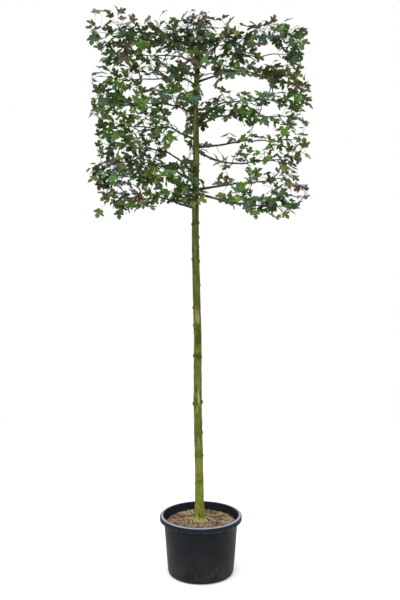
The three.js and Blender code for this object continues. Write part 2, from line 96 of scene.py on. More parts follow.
def unit(vectors: np.ndarray) -> np.ndarray:
    """Vectors made one long."""
    lengths = np.linalg.norm(vectors, axis=-1, keepdims=True)
    return vectors / np.maximum(lengths, 1e-9)


def heading(turn: float, rise: float = 0.0, flat: float = 1.0) -> np.ndarray:
    """A way out at a turn in radians from +X, with its rise and its share of the depth."""
    return np.array([math.cos(turn), flat * math.sin(turn), rise])


def steady(run: np.ndarray) -> np.ndarray:
    """The axis that turns round a line are counted from: the depth, or up where it runs deep."""
    return DEPTH if abs(run[1]) < ALONG_DEPTH else UP


def point_on(line: Line, share: float) -> np.ndarray:
    """The point at one share of a line."""
    return line(np.array([share]))[0]


def part_of(line: Line, low: float, high: float) -> Line:
    """The stretch of a line between two shares of it."""
    return lambda share: line(between(low, high, share))


def bowed(start: np.ndarray, way: np.ndarray, bow: np.ndarray | float = 0.0) -> Line:
    """The line that leads a way from its start, straight or bowed out in its middle."""
    return lambda share: start + way * share[:, None] + bow * np.sin(math.pi * share)[:, None]


def rising(start: np.ndarray, direction: np.ndarray, length: float, lift: float) -> Line:
    """The line that sets out in a direction and bends up more and more, by a share of its length."""
    def line(share: np.ndarray) -> np.ndarray:
        """The points at shares of the line."""
        return start + direction * (share * length)[:, None] + UP * (lift * length * share ** 2)[:, None]

    return line


def cloud(points: np.ndarray, size: Sequence[float]) -> np.ndarray:
    """Smooth noise between -1 and 1 at points, with the size of its spots along each axis."""
    scaled = points / np.asarray(size, float)
    return np.fromiter((noise.noise(Vector(p)) for p in scaled), float, len(scaled))


def bark_lumps(centre: np.ndarray, reach: np.ndarray, angle: np.ndarray, axes: tuple[int, int],
               lumps: Lumps) -> np.ndarray:
    """The unevenness of the bark round a limb."""
    around = centre.copy()
    around[:, axes[0]] += reach * np.cos(angle)
    around[:, axes[1]] += reach * np.sin(angle)
    return sum(height * cloud(around, size) for height, size in lumps)


@dataclass(frozen=True)
class Hump:
    """A soft rise or, below nothing, a hollow: its height in the middle and how wide it reaches."""

    height: float
    width: float

    def at(self, away: np.ndarray) -> np.ndarray:
        """Its height at distances from its middle."""
        return self.height * np.exp(-((away / self.width) ** 2))


class SeededDraws:
    """The source's random numbers between 0 and 1, the same on every run."""

    STEP = 0x6D2B79F5
    WORD = 0xFFFFFFFF

    def __init__(self, seed: int) -> None:
        """Starts the numbers of one seed."""
        self.state = seed & self.WORD

    def draw(self) -> float:
        """The next number, by the shifts of the source's own generator."""
        self.state = (self.state + self.STEP) & self.WORD
        mixed = ((self.state ^ (self.state >> 15)) * (self.state | 1)) & self.WORD
        mixed ^= (mixed + (mixed ^ (mixed >> 7)) * (mixed | 61)) & self.WORD
        return ((mixed ^ (mixed >> 14)) & self.WORD) / (self.WORD + 1)

    def within(self, low: float, high: float) -> float:
        """The next number, between two limits."""
        return between(low, high, self.draw())

    def spread(self, size: float) -> float:
        """The next number, up to a size to either side of nothing."""
        return self.within(-size, size)


class Value:
    """A node's output that takes part in Python expressions, each of which adds a Math node."""

    def __init__(self, book: "NodeBook", socket: bpy.types.NodeSocket | None) -> None:
        """Wraps one output of a book's nodes."""
        self.book = book
        self.socket = socket

    def __add__(self, other: "Value | float") -> "Value":
        """This value plus another."""
        return self.book.maths("ADD", self, other)

    __radd__ = __add__

    def __sub__(self, other: "Value | float") -> "Value":
        """This value less another."""
        return self.book.maths("SUBTRACT", self, other)

    def __rsub__(self, other: float) -> "Value":
        """A number less this value."""
        return self.book.maths("SUBTRACT", other, self)

    def __mul__(self, other: "Value | float") -> "Value":
        """This value times another."""
        return self.book.maths("MULTIPLY", self, other)

    __rmul__ = __mul__

    def __abs__(self) -> "Value":
        """This value without its sign."""
        return self.book.maths("ABSOLUTE", self)

    def ramp(self, low: float, high: float, start: float = 0.0, end: float = 1.0) -> "Value":
        """This value spread from a range of its own to another, and held at the ends."""
        inputs = {"Value": self, "From Min": low, "From Max": high, "To Min": start, "To Max": end}
        return self.book.node("ShaderNodeMapRange", {"clamp": True}, inputs)


class NodeBook:
    """The nodes of one material, or of the world."""

    ROUGHNESS_OF_GRAIN = 0.55

    def __init__(self, owner: bpy.types.Material | bpy.types.World) -> None:
        """Starts a material or a world with no nodes."""
        self.owner = owner
        owner.use_nodes = True
        self.tree = owner.node_tree
        self.tree.nodes.clear()

    def node(self, kind: str, settings: dict | None = None, inputs: dict | None = None,
             out: int | str = 0) -> Value:
        """Adds a node.

        Args:
            kind: Blender's type name of the node.
            settings: The node's own settings, set before its inputs.
            inputs: Numbers, colours or other nodes' values, by socket name or number.
            out: Which output to give back.

        Returns:
            The output, for use in expressions and other nodes. That of a closing node is empty.
        """
        made = self.tree.nodes.new(kind)
        for setting, value in (settings or {}).items():
            setattr(made, setting, value)
        for socket, value in (inputs or {}).items():
            if isinstance(value, Value):
                self.tree.links.new(value.socket, made.inputs[socket])
            else:
                made.inputs[socket].default_value = value
        return Value(self, made.outputs[out] if made.outputs else None)

    def maths(self, operation: str, *values: Value | float) -> Value:
        """The result of a Math node on values and numbers."""
        return self.node("ShaderNodeMath", {"operation": operation}, dict(enumerate(values)))

    def place(self, scale: Sequence[float] = (1, 1, 1)) -> Value:
        """The place on the piece, in metres of the shared frame, scaled along its axes."""
        coordinates = self.node("ShaderNodeTexCoord", out="Object")
        return self.node("ShaderNodeMapping", {}, {"Vector": coordinates, "Scale": scale})

    def height(self) -> Value:
        """The height above the pot's underside, in metres."""
        return self.node("ShaderNodeSeparateXYZ", {}, {0: self.place()}, out="Z")

    def grain(self, scale: float, detail: float = 3, stretch: Sequence[float] = (1, 1, 1)) -> Value:
        """A cloudy pattern from 0 to 1, with its scale in spots a metre."""
        inputs = {"Vector": self.place(stretch), "Scale": scale, "Detail": detail,
                  "Roughness": self.ROUGHNESS_OF_GRAIN}
        return self.node("ShaderNodeTexNoise", {}, inputs)

    def spots(self, scale: float) -> Value:
        """The distance to the nearest of many scattered spots."""
        return self.node("ShaderNodeTexVoronoi", {}, {"Vector": self.place(), "Scale": scale}, out="Distance")

    def attribute(self, name: str) -> Value:
        """A number that the mesh keeps for each of its points."""
        return self.node("ShaderNodeAttribute", {"attribute_name": name}, out="Fac")

    def mix(self, factor: Value, first: Value | Colour, second: Value | Colour) -> Value:
        """A mix of two colours by a factor."""
        settings = {"data_type": "RGBA", "blend_type": "MIX", "clamp_factor": True}
        colours = [c if isinstance(c, Value) else (*c, 1.0) for c in (first, second)]
        return self.node("ShaderNodeMix", settings, {0: factor, 6: colours[0], 7: colours[1]}, out=2)

    def coats(self, base: Colour, layers: Iterable[tuple[Value, Colour]]) -> Value:
        """Lays colours over a base one after another, each as strongly as its own mask says."""
        body = base
        for mask, colour in layers:
            body = self.mix(mask, body, colour)
        return body

    def bump(self, height: Value, strength: float, depth: float) -> Value:
        """A bumpy normal from a height, with its depth in metres."""
        return self.node("ShaderNodeBump", {}, {"Strength": strength, "Distance": depth, "Height": height})

    def finish(self, inputs: dict) -> bpy.types.Material:
        """Ends the material in one surface shader with these inputs."""
        shader = self.node("ShaderNodeBsdfPrincipled", {}, inputs)
        self.node("ShaderNodeOutputMaterial", {}, {"Surface": shader})
        return self.owner


@dataclass(frozen=True)
class TrunkBark:
    """Young green bark: brown patches, pale streaks, paler at the foot and dark in its scars, with painted
    shade of the crown darkening it from 1.6 m up.
    """

    green: Colour = srgb(98, 106, 30)
    deep: Colour = srgb(62, 70, 19)
    streak: Colour = srgb(170, 166, 116)
    brown: Colour = srgb(80, 68, 32)
    low: Colour = srgb(126, 136, 44)
    foot: Colour = srgb(188, 180, 104)
    # Painted shade: the colour the trunk darkens to from 1.6 m up, as if shaded by the crown
    painted_crown_shade: Colour = srgb(56, 60, 28)
    scar: Colour = srgb(36, 36, 16)

    def build(self) -> bpy.types.Material:
        """Makes the material."""
        book = NodeBook(bpy.data.materials.new("bark_of_trunk"))
        clouds = book.grain(22, detail=5)
        patches = book.grain(9, detail=2)
        streaks = book.grain(70, stretch=(1, 1, 0.12))
        lichen = book.grain(120, detail=2)
        height = book.height()
        foot = height.ramp(0.342, 0.39, 0.85, -0.45) + streaks.ramp(0.38, 0.62, -0.3, 0.3)
        body = book.coats(self.deep, (
            (clouds.ramp(0.36, 0.6), self.green),
            (patches.ramp(0.5, 0.66, 0, 0.5), self.brown),
            (height.ramp(0.45, 0.85, 0.75, 0) * clouds.ramp(0.3, 0.5, 0.2, 0.9), self.low),
            (streaks.ramp(0.56, 0.68, 0, 0.65), self.streak),
            # Painted shade of the crown over the trunk, growing from 1.6 m to full at 2.2 m and above
            (height.ramp(1.6, 2.2, 0, 0.4), self.painted_crown_shade),
            (foot.ramp(0, 1, 0, 0.9), self.foot),
            (book.attribute("scar"), self.scar),
        ))
        return book.finish({
            "Base Color": body,
            "Roughness": lichen.ramp(0.3, 0.7, 0.55, 0.85),
            "IOR": 1.25,
            "Normal": book.bump(streaks * 0.6 + lichen * 0.4, 0.7, 0.002),
        })


@dataclass(frozen=True)
class TwigBark:
    """Thin bark of boughs and twigs: brown to grey, with fine ridges along the wood."""

    name: str
    light: Colour
    dark: Colour
    scar: Colour = srgb(40, 34, 26)

    def build(self) -> bpy.types.Material:
        """Makes the material."""
        book = NodeBook(bpy.data.materials.new(self.name))
        clouds = book.grain(30)
        ridges = book.grain(240, detail=2, stretch=(0.2, 1, 1))
        body = book.coats(self.dark, (
            (clouds.ramp(0.36, 0.64), self.light),
            (ridges.ramp(0.5, 0.75, 0, 0.5), self.scar),
        ))
        return book.finish({
            "Base Color": body,
            "Roughness": clouds.ramp(0.3, 0.7, 0.6, 0.85),
            "IOR": 1.25,
            "Normal": book.bump(ridges, 0.6, 0.001),
        })


@dataclass(frozen=True)
class LeafSkin:
    """One side of a leaf: one plain tint, a little uneven, with paler veins and a soft shine."""

    name: str
    tint: Colour
    shine: float = 0.3
    shine_spread: float = 0.2
    # The directions of the main veins from the leaf's middle line, in degrees
    vein_turns: tuple[float, ...] = (0, 59, 101)
    vein_width: float = 0.02
    vein_strength: float = 0.6
    vein_depth: float = 0.5

    def veins(self, book: NodeBook) -> Value:
        """How near a place is to one of the veins that fan out from the stalk, from 0 to 1."""
        place = book.node("ShaderNodeAttribute", {"attribute_name": PLACE_ON_SHAPE}, out="Vector")
        along, aside = (book.node("ShaderNodeSeparateXYZ", {}, {0: place}, out=axis) for axis in "XY")
        aside = abs(aside)
        nearest = aside
        for turn in map(math.radians, self.vein_turns):
            away = aside * math.cos(turn) - along * math.sin(turn)
            nearest = book.maths("MINIMUM", nearest, abs(away))
        return nearest.ramp(self.vein_width / 4, self.vein_width, 1, 0)

    def toned(self, factor: float, lift: float = 0.0) -> Colour:
        """The tint times a factor, with a lift."""
        return tuple(min(1.0, factor * c + lift) for c in self.tint)

    def build(self) -> bpy.types.Material:
        """Makes the material."""
        book = NodeBook(bpy.data.materials.new(self.name))
        clouds = book.grain(58)
        veins = self.veins(book)
        fine = book.grain(220, detail=1)
        body = book.coats(self.toned(0.55), (
            (clouds.ramp(0.35, 0.65), self.toned(1.35)),
            (veins * self.vein_strength, self.toned(1.8, 0.03)),
        ))
        return book.finish({
            "Base Color": body,
            "Roughness": clouds.ramp(0.3, 0.7, self.shine, self.shine + self.shine_spread),
            "IOR": 1.45,
            "Normal": book.bump(fine - veins * self.vein_depth, 0.35, 0.002),
        })


@dataclass(frozen=True)
class NurseryPlastic:
    """Charcoal moulded plastic with a fine grain, dusty and a little mossy towards the base, with a painted
    highlight along the top of its lip, scuffs and a broken painted highlight along the skirt's lower edge,
    and painted shade inside.
    """

    body: Colour = srgb(20, 22, 24)
    worn: Colour = srgb(25, 28, 33)
    dust: Colour = srgb(40, 39, 31)
    moss: Colour = srgb(38, 46, 22)
    speck: Colour = srgb(96, 104, 88)
    # Painted highlight: the pale blue-grey of a sky reflection on the lip, also used along the skirt's edge
    rim: Colour = srgb(140, 144, 156)
    skirt: Colour = srgb(23, 27, 35)
    # Painted shade: a darker, bluer tone for the inside of the pot
    inner: Colour = srgb(19, 22, 30)

    def build(self) -> bpy.types.Material:
        """Makes the material."""
        book = NodeBook(bpy.data.materials.new("pot_plastic"))
        clouds = book.grain(9, detail=4)
        fine = book.grain(160, detail=2)
        scuffs_and_glints = book.grain(60, stretch=(1, 1, 0.35))
        specks = book.spots(120).ramp(0.1, 0.34, 1, 0)
        low = book.height().ramp(0.02, 0.2, 1, 0)
        body = book.coats(self.body, (
            (clouds.ramp(0.4, 0.65), self.worn),
            (low * clouds.ramp(0.35, 0.6, 0, 0.75), self.dust),
            (low * fine.ramp(0.4, 0.6) * scuffs_and_glints.ramp(0.45, 0.6, 0, 0.7), self.moss),
            (low * specks * scuffs_and_glints.ramp(0.44, 0.58, 0, 0.75), self.speck),
            (book.attribute("skirt"), self.skirt),
            # Scuffs and a broken painted highlight along the skirt's lower edge, in the lip's highlight
            # colour
            (book.attribute("edge") * scuffs_and_glints.ramp(0.48, 0.7, 0, 0.3), self.rim),
            # Painted shade on the inside of the pot
            (book.attribute("inner"), self.inner),
            # Painted highlight along the top of the lip
            (book.attribute("rim") * clouds.ramp(0.2, 0.6, 0.75, 1), self.rim),
        ))
        return book.finish({
            "Base Color": body,
            "Roughness": clouds.ramp(0.3, 0.7, 0.4, 0.55),
            "IOR": 1.17,
            "Normal": book.bump(fine, 0.3, 0.0008),
        })


@dataclass(frozen=True)
class Earth:
    """Tan fibrous mulch over darker soil."""

    name: str = "mulch_bed"
    light: Colour = srgb(150, 124, 96)
    dark: Colour = srgb(62, 47, 34)

    def build(self) -> bpy.types.Material:
        """Makes the material."""
        book = NodeBook(bpy.data.materials.new(self.name))
        clouds = book.grain(48, detail=5)
        crumbs = book.grain(320)
        body = book.coats(self.dark, (
            (clouds.ramp(0.42, 0.56), self.light),
            (crumbs.ramp(0.55, 0.7, 0, 0.6), self.dark),
        ))
        return book.finish({
            "Base Color": body,
            "Roughness": crumbs.ramp(0.3, 0.7, 0.85, 1),
            "Normal": book.bump(crumbs, 0.8, 0.004),
        })


class Tint(Enum):
    """The colours of the leaves, each for a whole spray."""

    DEEP = "deep_green"
    MID = "mid_green"
    # Partly painted light: a yellow-green for fresh leaves that also stands in for light shining through
    # leaves
    FRESH = "fresh_green"
    BLUE = "blue_green"
    OLIVE = "olive"
    BRONZE = "bronze"
    PURPLE = "purple_brown"
    AMBER = "amber"


@dataclass(frozen=True)
class TintPlan:
    """How one tint looks on both sides of its leaves, and how often it comes up.

    The shares are for sprays on the left, on the right, at the edges and in the tuft.
    """

    top: Colour
    under: Colour
    left: float
    right: float
    edge: float
    tuft: float


TINTS: dict[Tint, TintPlan] = {
    Tint.DEEP: TintPlan(srgb(46, 78, 22), srgb(76, 100, 52), 36, 30, 24, 10),
    Tint.MID: TintPlan(srgb(70, 110, 26), srgb(96, 120, 58), 32, 26, 24, 2),
    # Partly painted light: the yellow-green of fresh leaves, also standing in for light shining through
    # leaves
    Tint.FRESH: TintPlan(srgb(84, 122, 30), srgb(106, 128, 58), 10, 7, 3, 0),
    Tint.BLUE: TintPlan(srgb(60, 90, 60), srgb(98, 120, 92), 9, 23, 18, 16),
    Tint.OLIVE: TintPlan(srgb(92, 101, 33), srgb(114, 118, 64), 12, 8, 12, 20),
    Tint.BRONZE: TintPlan(srgb(104, 84, 68), srgb(124, 107, 93), 0.7, 0.9, 6, 26),
    Tint.PURPLE: TintPlan(srgb(80, 65, 59), srgb(108, 95, 90), 1.0, 1.4, 6, 36),
    Tint.AMBER: TintPlan(srgb(122, 92, 58), srgb(132, 110, 78), 0.2, 0.1, 0.8, 1),
}

# Places where one tint gathers, as middle, reach and tint
TINT_SPOTS: tuple[tuple[float, float, float, Tint], ...] = (
    (630, 2930, 62, Tint.PURPLE), (-640, 3086, 66, Tint.PURPLE), (-640, 2430, 56, Tint.PURPLE),
    (-110, 2942, 52, Tint.PURPLE), (-562, 3345, 96, Tint.BLUE), (590, 3320, 90, Tint.BLUE),
    (-433, 3403, 50, Tint.BRONZE), (38, 3172, 60, Tint.BRONZE), (-70, 3092, 46, Tint.BRONZE),
    (590, 2370, 60, Tint.BRONZE), (527, 2497, 90, Tint.OLIVE), (144, 2538, 44, Tint.OLIVE),
    (-400, 2880, 150, Tint.FRESH), (-430, 2500, 130, Tint.BLUE), (-10, 3372, 60, Tint.PURPLE),
    (180, 2600, 90, Tint.MID), (-460, 2700, 120, Tint.DEEP), (-560, 3440, 62, Tint.BRONZE),
)

# Single tips that stand out of the outline: where each is, how far below it its foot is looked for,
# its tint, how many leaves it may have and their size
LOOSE_TIPS: tuple[tuple[float, float, float, Tint, int, float], ...] = (
    (-568, 3426, 60, Tint.PURPLE, 2, 0.8), (-612, 3404, 50, Tint.BRONZE, 2, 0.8),
    (-480, 3408, 50, Tint.BRONZE, 3, 0.9), (-238, 3404, 50, Tint.BLUE, 1, 0.9),
    (-62, 3418, 40, Tint.BLUE, 1, 0.8), (36, 3382, 40, Tint.BRONZE, 2, 0.8),
    (404, 3348, 50, Tint.BRONZE, 3, 0.7), (-482, 2296, -40, Tint.DEEP, 1, 1.3),
    (-572, 2312, -40, Tint.MID, 1, 0.9), (128, 3376, 45, Tint.BRONZE, 2, 0.7),
)


def join_piece(piece: bpy.types.Object, replaced: Iterable[str] = ()) -> None:
    """Lets a finished piece ride on the body and hides what it stands for.

    Args:
        piece: The finished piece.
        replaced: The solids that it stands for, if any.
    """
    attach(piece, BODY)
    names = list(replaced)
    if names:
        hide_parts(*names)
    log.info("%s: %d faces, stands for %s", piece.name, len(piece.data.polygons), names or "nothing")


def object_from(name: str, mesh: bpy.types.Mesh, materials: Iterable[bpy.types.Material],
                smooth: bool = True) -> bpy.types.Object:
    """Puts a mesh in the scene.

    Args:
        name: The object's name.
        mesh: Its mesh.
        materials: The mesh's materials, by number.
        smooth: Whether its faces are shaded as one smooth skin.

    Returns:
        The object, at the origin.
    """
    for material in materials:
        mesh.materials.append(material)
    if smooth:
        mesh.shade_smooth()
    else:
        mesh.shade_flat()
    piece = bpy.data.objects.new(name, mesh)
    bpy.context.scene.collection.objects.link(piece)
    return piece


def mesh_from(name: str, bm: bmesh.types.BMesh) -> bpy.types.Mesh:
    """Writes a bmesh with its faces turned outwards, and frees it."""
    bmesh.ops.recalc_face_normals(bm, faces=bm.faces)
    mesh = bpy.data.meshes.new(name)
    bm.to_mesh(mesh)
    bm.free()
    return mesh


def spun(section: Iterable[Range], facets: int) -> bmesh.types.BMesh:
    """Spins a section once round the upright axis."""
    bm = bmesh.new()
    verts = [bm.verts.new((radius * METRE, 0, height * METRE)) for radius, height in section]
    edges = [bm.edges.new(pair) for pair in zip(verts, verts[1:])]
    bmesh.ops.spin(bm, geom=[*verts, *edges], cent=(0, 0, 0), axis=(0, 0, 1), angle=2 * math.pi,
                   steps=facets, use_merge=True)
    bmesh.ops.remove_doubles(bm, verts=bm.verts, dist=MERGE)
    return bm


def long_edges(bm: bmesh.types.BMesh, axis: int) -> list[bmesh.types.BMEdge]:
    """The edges of a shape one long that run from one of its ends to the other."""
    return [e for e in bm.edges if abs(e.verts[0].co[axis] - e.verts[1].co[axis]) > 0.5]


def frames_along(line: Line, shares: np.ndarray, level: bool) -> tuple[np.ndarray, np.ndarray]:
    """Two directions across a line, as the source turns its limbs.

    Args:
        line: The line.
        shares: The shares of it that are asked for.
        level: Whether the directions stay level, whichever way the line leans.

    Returns:
        Both directions at each share.
    """
    if level:
        tangent = np.tile(UP, (len(shares), 1))
    else:
        after = line(np.minimum(shares + LIMB_STEP, 1))
        tangent = unit(after - line(np.maximum(shares - LIMB_STEP, 0)))
    run = unit(point_on(line, 1.0) - point_on(line, 0.0))
    first = unit(np.cross(steady(run), tangent))
    return first, unit(np.cross(tangent, first))


@dataclass
class BarkTube:
    """A limb with the relief of its bark, as a fine closed tube along a line."""

    line: Line
    radius: Around
    sides: int
    rings: int
    level: bool = False
    scars: Around | None = None

    def build(self, name: str, finish: bpy.types.Material) -> bpy.types.Object:
        """Makes the tube: a grid rolled round the line, joined at its seam and closed at its ends."""
        bm = bmesh.new()
        bmesh.ops.create_grid(bm, x_segments=self.sides, y_segments=self.rings, size=0.5)
        flat = np.array([v.co for v in bm.verts])
        angle = 2 * math.pi * (flat[:, 0] + 0.5)
        share = np.clip(flat[:, 1] + 0.5, 0, 1)
        first, second = frames_along(self.line, share, self.level)
        outward = first * np.cos(angle)[:, None] + second * np.sin(angle)[:, None]
        points = (self.line(share) + outward * self.radius(share, angle)[:, None]) * METRE
        scars = self.scars(share, angle) if self.scars else np.zeros(len(share))
        layer = bm.verts.layers.float.new("scar")
        for vert, point, scar in zip(bm.verts, points, scars):
            vert.co = point
            vert[layer] = scar
        bmesh.ops.remove_doubles(bm, verts=bm.verts, dist=MERGE)
        rims = [edge for edge in bm.edges if edge.is_boundary]
        bmesh.ops.holes_fill(bm, edges=rims, sides=0)
        return object_from(name, mesh_from(name, bm), [finish])


@dataclass
class SmallShape:
    """A small closed shape as arrays, for joining in many copies."""

    points: np.ndarray
    faces: np.ndarray
    kinds: np.ndarray

    @classmethod
    def of(cls, bm: bmesh.types.BMesh) -> "SmallShape":
        """Takes the arrays of a bmesh, in triangles, and frees it."""
        bmesh.ops.triangulate(bm, faces=bm.faces)
        bm.verts.index_update()
        points = np.array([v.co for v in bm.verts])
        faces = np.array([[v.index for v in f.verts] for f in bm.faces])
        kinds = np.array([f.material_index for f in bm.faces])
        bm.free()
        return cls(points, faces, kinds)

    @classmethod
    def tube(cls, sides: int, rings: int) -> "SmallShape":
        """A closed tube of radius one along +Z from 0 to 1."""
        bm = bmesh.new()
        bmesh.ops.create_cone(bm, cap_ends=True, segments=sides, radius1=1, radius2=1, depth=1)
        bmesh.ops.translate(bm, verts=bm.verts, vec=(0, 0, 0.5))
        bmesh.ops.subdivide_edges(bm, edges=long_edges(bm, 2), cuts=rings - 1, use_grid_fill=True)
        return cls.of(bm)

    @classmethod
    def splinter(cls, point: float = 0.45) -> "SmallShape":
        """A splinter of bark: a block whose ends are drawn in to a share of its width."""
        bm = bmesh.new()
        bmesh.ops.create_cube(bm, size=1)
        bmesh.ops.subdivide_edges(bm, edges=long_edges(bm, 0), cuts=1, use_grid_fill=True)
        for vert in bm.verts:
            if abs(vert.co.x) > 0.4:
                vert.co.yz *= point
        return cls.of(bm)


@dataclass
class Swarm:
    """Many copies of small shapes, joined in one mesh from arrays."""

    points: list[np.ndarray] = field(default_factory=list)
    places: list[np.ndarray] = field(default_factory=list)
    faces: list[np.ndarray] = field(default_factory=list)
    kinds: list[np.ndarray] = field(default_factory=list)
    count: int = 0

    def add(self, shape: SmallShape, points: np.ndarray, materials: Sequence[int] = (0, 0)) -> None:
        """Adds a copy of a shape.

        Args:
            shape: The shape, for its faces.
            points: Where the copy's points are, in millimetres.
            materials: The material's number for each kind of face.
        """
        self.points.append(points * METRE)
        self.places.append(shape.points)
        self.faces.append(shape.faces + self.count)
        self.kinds.append(np.asarray(materials)[shape.kinds])
        self.count += len(points)

    def add_strand(self, tube: SmallShape, line: Line, radius: Line, material: int = 0) -> None:
        """Adds a straight tube laid along a line."""
        share = np.clip(tube.points[:, 2], 0, 1)
        first, second = frames_along(line, share, False)
        aside = first * tube.points[:, :1] + second * tube.points[:, 1:2]
        self.add(tube, line(share) + radius(share)[:, None] * aside, (material, material))

    def build(self, name: str, materials: Iterable[bpy.types.Material],
              smooth: bool = False) -> bpy.types.Object:
        """Joins the copies in one piece."""
        mesh = bpy.data.meshes.new(name)
        mesh.from_pydata(np.concatenate(self.points), [], np.concatenate(self.faces))
        mesh.polygons.foreach_set("material_index", np.concatenate(self.kinds).astype(np.int32))
        places = mesh.attributes.new(PLACE_ON_SHAPE, "FLOAT_VECTOR", "POINT")
        places.data.foreach_set("vector", np.concatenate(self.places).astype(np.float32).ravel())
        mesh.update()
        return object_from(name, mesh, materials, smooth)


def tapered(start: float, end: float) -> Line:
    """The radius of a strand that goes evenly from one at its start to another at its end."""
    return lambda share: between(start, end, share)


@dataclass
class Trunk:
    """The clear stem, with root flare, knots and ring scars."""

    foot: float = 342.3
    tip: float = 3330
    foot_radius: float = 25.5
    crown_radius: float = 18
    tip_radius: float = 8
    crown_height: float = 2200
    flare: float = 12
    flare_height: float = 26
    flare_roots: int = 5
    flare_lobe: float = 0.3
    # Bark over the solid, below the crown and at the tip, and a swelling above the flare
    bark_thickness: Range = (3.0, 5.4)
    collar: Hump = Hump(2.2, 30)
    collar_height: float = 402
    lumps: Lumps = ((1.5, (60, 60, 90)), (0.7, (16, 16, 40)), (0.4, (5, 5, 26)))
    # Small roots that spread at the foot, unevenly and fainter on +X
    root_ridges: int = 9
    root_spread: float = 0.8
    root_height: float = 10
    root_gaps: float = 0.8
    root_stray: float = 2
    root_fade: float = 0.4
    # The middle's distance from the axis, as heights with what it is there
    lean: Table = (
        (342, -9), (600, -9), (1100, -20), (1480, -19), (1850, -28), (2120, -34), (2450, -31),
        (2640, -27), (2890, -33), (3050, -24), (3270, -12), (3480, -10),
    )
    softened: float = 50
    sway_depth: float = 7
    sway_length: float = 2600
    # Healed pruning scars: height, turn in degrees from +X, and size
    knots: Table = (
        (580, 200, 9), (760, 330, 10), (905, 20, 11), (1088, 175, 12), (1100, 10, 13),
        (1380, 300, 11), (1392, 190, 10), (1580, 185, 9), (1690, 200, 10), (1830, 340, 9),
        (1972, 10, 10), (1985, 190, 10), (2062, 330, 9), (2118, 15, 11), (2196, 180, 9), (2204, 5, 9),
        (700, 120, 8), (1240, 80, 10), (1500, 260, 7), (1760, 60, 9), (640, 275, 6), (1010, 250, 7),
    )
    # A knot's lip and hollow, and its dark middle and edge, in shares of its size
    knot_flatness: float = 1.15
    knot_lip: Hump = Hump(0.62, 1.3 ** -0.5)
    knot_hollow: Hump = Hump(-0.3, 1 / 3)
    knot_dark: Hump = Hump(0.75, 0.45)
    knot_edge: Hump = Hump(0.3, 0.3)
    # Old growth rings that stand out round the stem: height and strength
    rings: Table = ((470, 0.5), (760, 0.6), (905, 0.5), (1094, 1.4), (1386, 1), (1690, 0.6), (2200, 1.2))
    ring_tilt: float = 2.5
    ring_swelling: Hump = Hump(2.2, 7)
    ring_groove: Hump = Hump(-1.8, 2.6)
    ring_dark: Hump = Hump(0.5, 3)
    darkest: float = 0.9
    sides: int = 44
    courses: int = 900

    def middle(self, height: np.ndarray | float) -> np.ndarray:
        """The middle of the trunk at heights."""
        side = np.interp(height, *zip(*self.lean))
        depth = self.sway_depth * np.sin(2 * math.pi * (height - self.foot) / self.sway_length)
        return np.stack([side, depth, height], axis=-1)

    def beside(self, point: np.ndarray) -> float:
        """How far to the right of the trunk's middle a point lies."""
        return point[0] - self.middle(point[2])[0]

    def radius(self, height: np.ndarray | float, angle: np.ndarray | float = 0.0) -> np.ndarray:
        """The trunk's radius at heights, with the flare of its roots."""
        places = (self.foot, self.crown_height, self.tip)
        taper = np.interp(height, places, (self.foot_radius, self.crown_radius, self.tip_radius))
        flare = self.flare * np.exp((self.foot - height) / self.flare_height)
        return taper + flare * (1 + self.flare_lobe * np.cos(self.flare_roots * angle))

    def line(self, share: np.ndarray) -> np.ndarray:
        """The trunk's middle at shares of its height, a little softened where it bends."""
        height = between(self.foot, self.tip, share)
        steps = np.linspace(-self.softened, self.softened, 5)
        centre = self.middle(height)
        centre[:, 0] = np.mean([self.middle(height + step)[:, 0] for step in steps], axis=0)
        return centre

    def knots_at(self, height: np.ndarray, angle: np.ndarray) -> Iterator[tuple[float, np.ndarray]]:
        """Each knot's size, with the distances of places on the bark from it in shares of that."""
        for place, turn, size in self.knots:
            round_by = (angle - math.radians(turn) + math.pi) % (2 * math.pi) - math.pi
            aside = round_by * self.radius(place)
            yield size, np.hypot(aside, (height - place) * self.knot_flatness) / size

    def rings_at(self, height: np.ndarray, angle: np.ndarray) -> Iterator[tuple[float, np.ndarray]]:
        """Each ring's strength, with the distances of places on the bark above its tilted line."""
        for place, strength in self.rings:
            yield strength, height - place - self.ring_tilt * np.sin(angle + place)

    def relief(self, share: np.ndarray, angle: np.ndarray) -> np.ndarray:
        """The radius with small roots, knots, rings and the bark's own unevenness."""
        height = between(self.foot, self.tip, share)
        base = self.radius(height, angle)
        uneven = bark_lumps(self.line(share), base, angle, (0, 1), self.lumps)
        uneven += np.interp(height, (self.crown_height, self.tip), self.bark_thickness)
        uneven += self.collar.at(height - self.collar_height)
        roots = self.root_gaps * np.cos(self.root_ridges * angle + self.root_stray * np.sin(2 * angle))
        ridges = 1 + roots - self.root_fade * np.cos(angle)
        uneven += self.root_spread * ridges * np.exp((self.foot - height) / self.root_height)
        for size, away in self.knots_at(height, angle):
            uneven += size * (self.knot_lip.at(away) + self.knot_hollow.at(away))
        for strength, away in self.rings_at(height, angle):
            uneven += strength * (self.ring_swelling.at(away) + self.ring_groove.at(away))
        return base + uneven

    def scars(self, share: np.ndarray, angle: np.ndarray) -> np.ndarray:
        """How dark the bark is in its scars, from 0 to 1."""
        height = between(self.foot, self.tip, share)
        dark = np.zeros(len(height))
        for _size, away in self.knots_at(height, angle):
            dark += self.knot_dark.at(away) + self.knot_edge.at(away - 1)
        for strength, away in self.rings_at(height, angle):
            dark += strength * self.ring_dark.at(away)
        return np.clip(dark, 0, self.darkest)

    def build(self, finish: bpy.types.Material) -> None:
        """Makes the trunk's bark and puts it in the place of its solid."""
        tube = BarkTube(self.line, self.relief, self.sides, self.courses, True, self.scars)
        join_piece(tube.build("trunk_bark", finish), ["trunk"])


class Side(Enum):
    """The two sides of the crown."""

    LEFT = -1
    RIGHT = 1


class Growth(Enum):
    """What a limb's random numbers are for, as a step from its seed."""

    LINE = 0
    SHOOTS = 1
    LEAVES = 2
    TINTS = 7


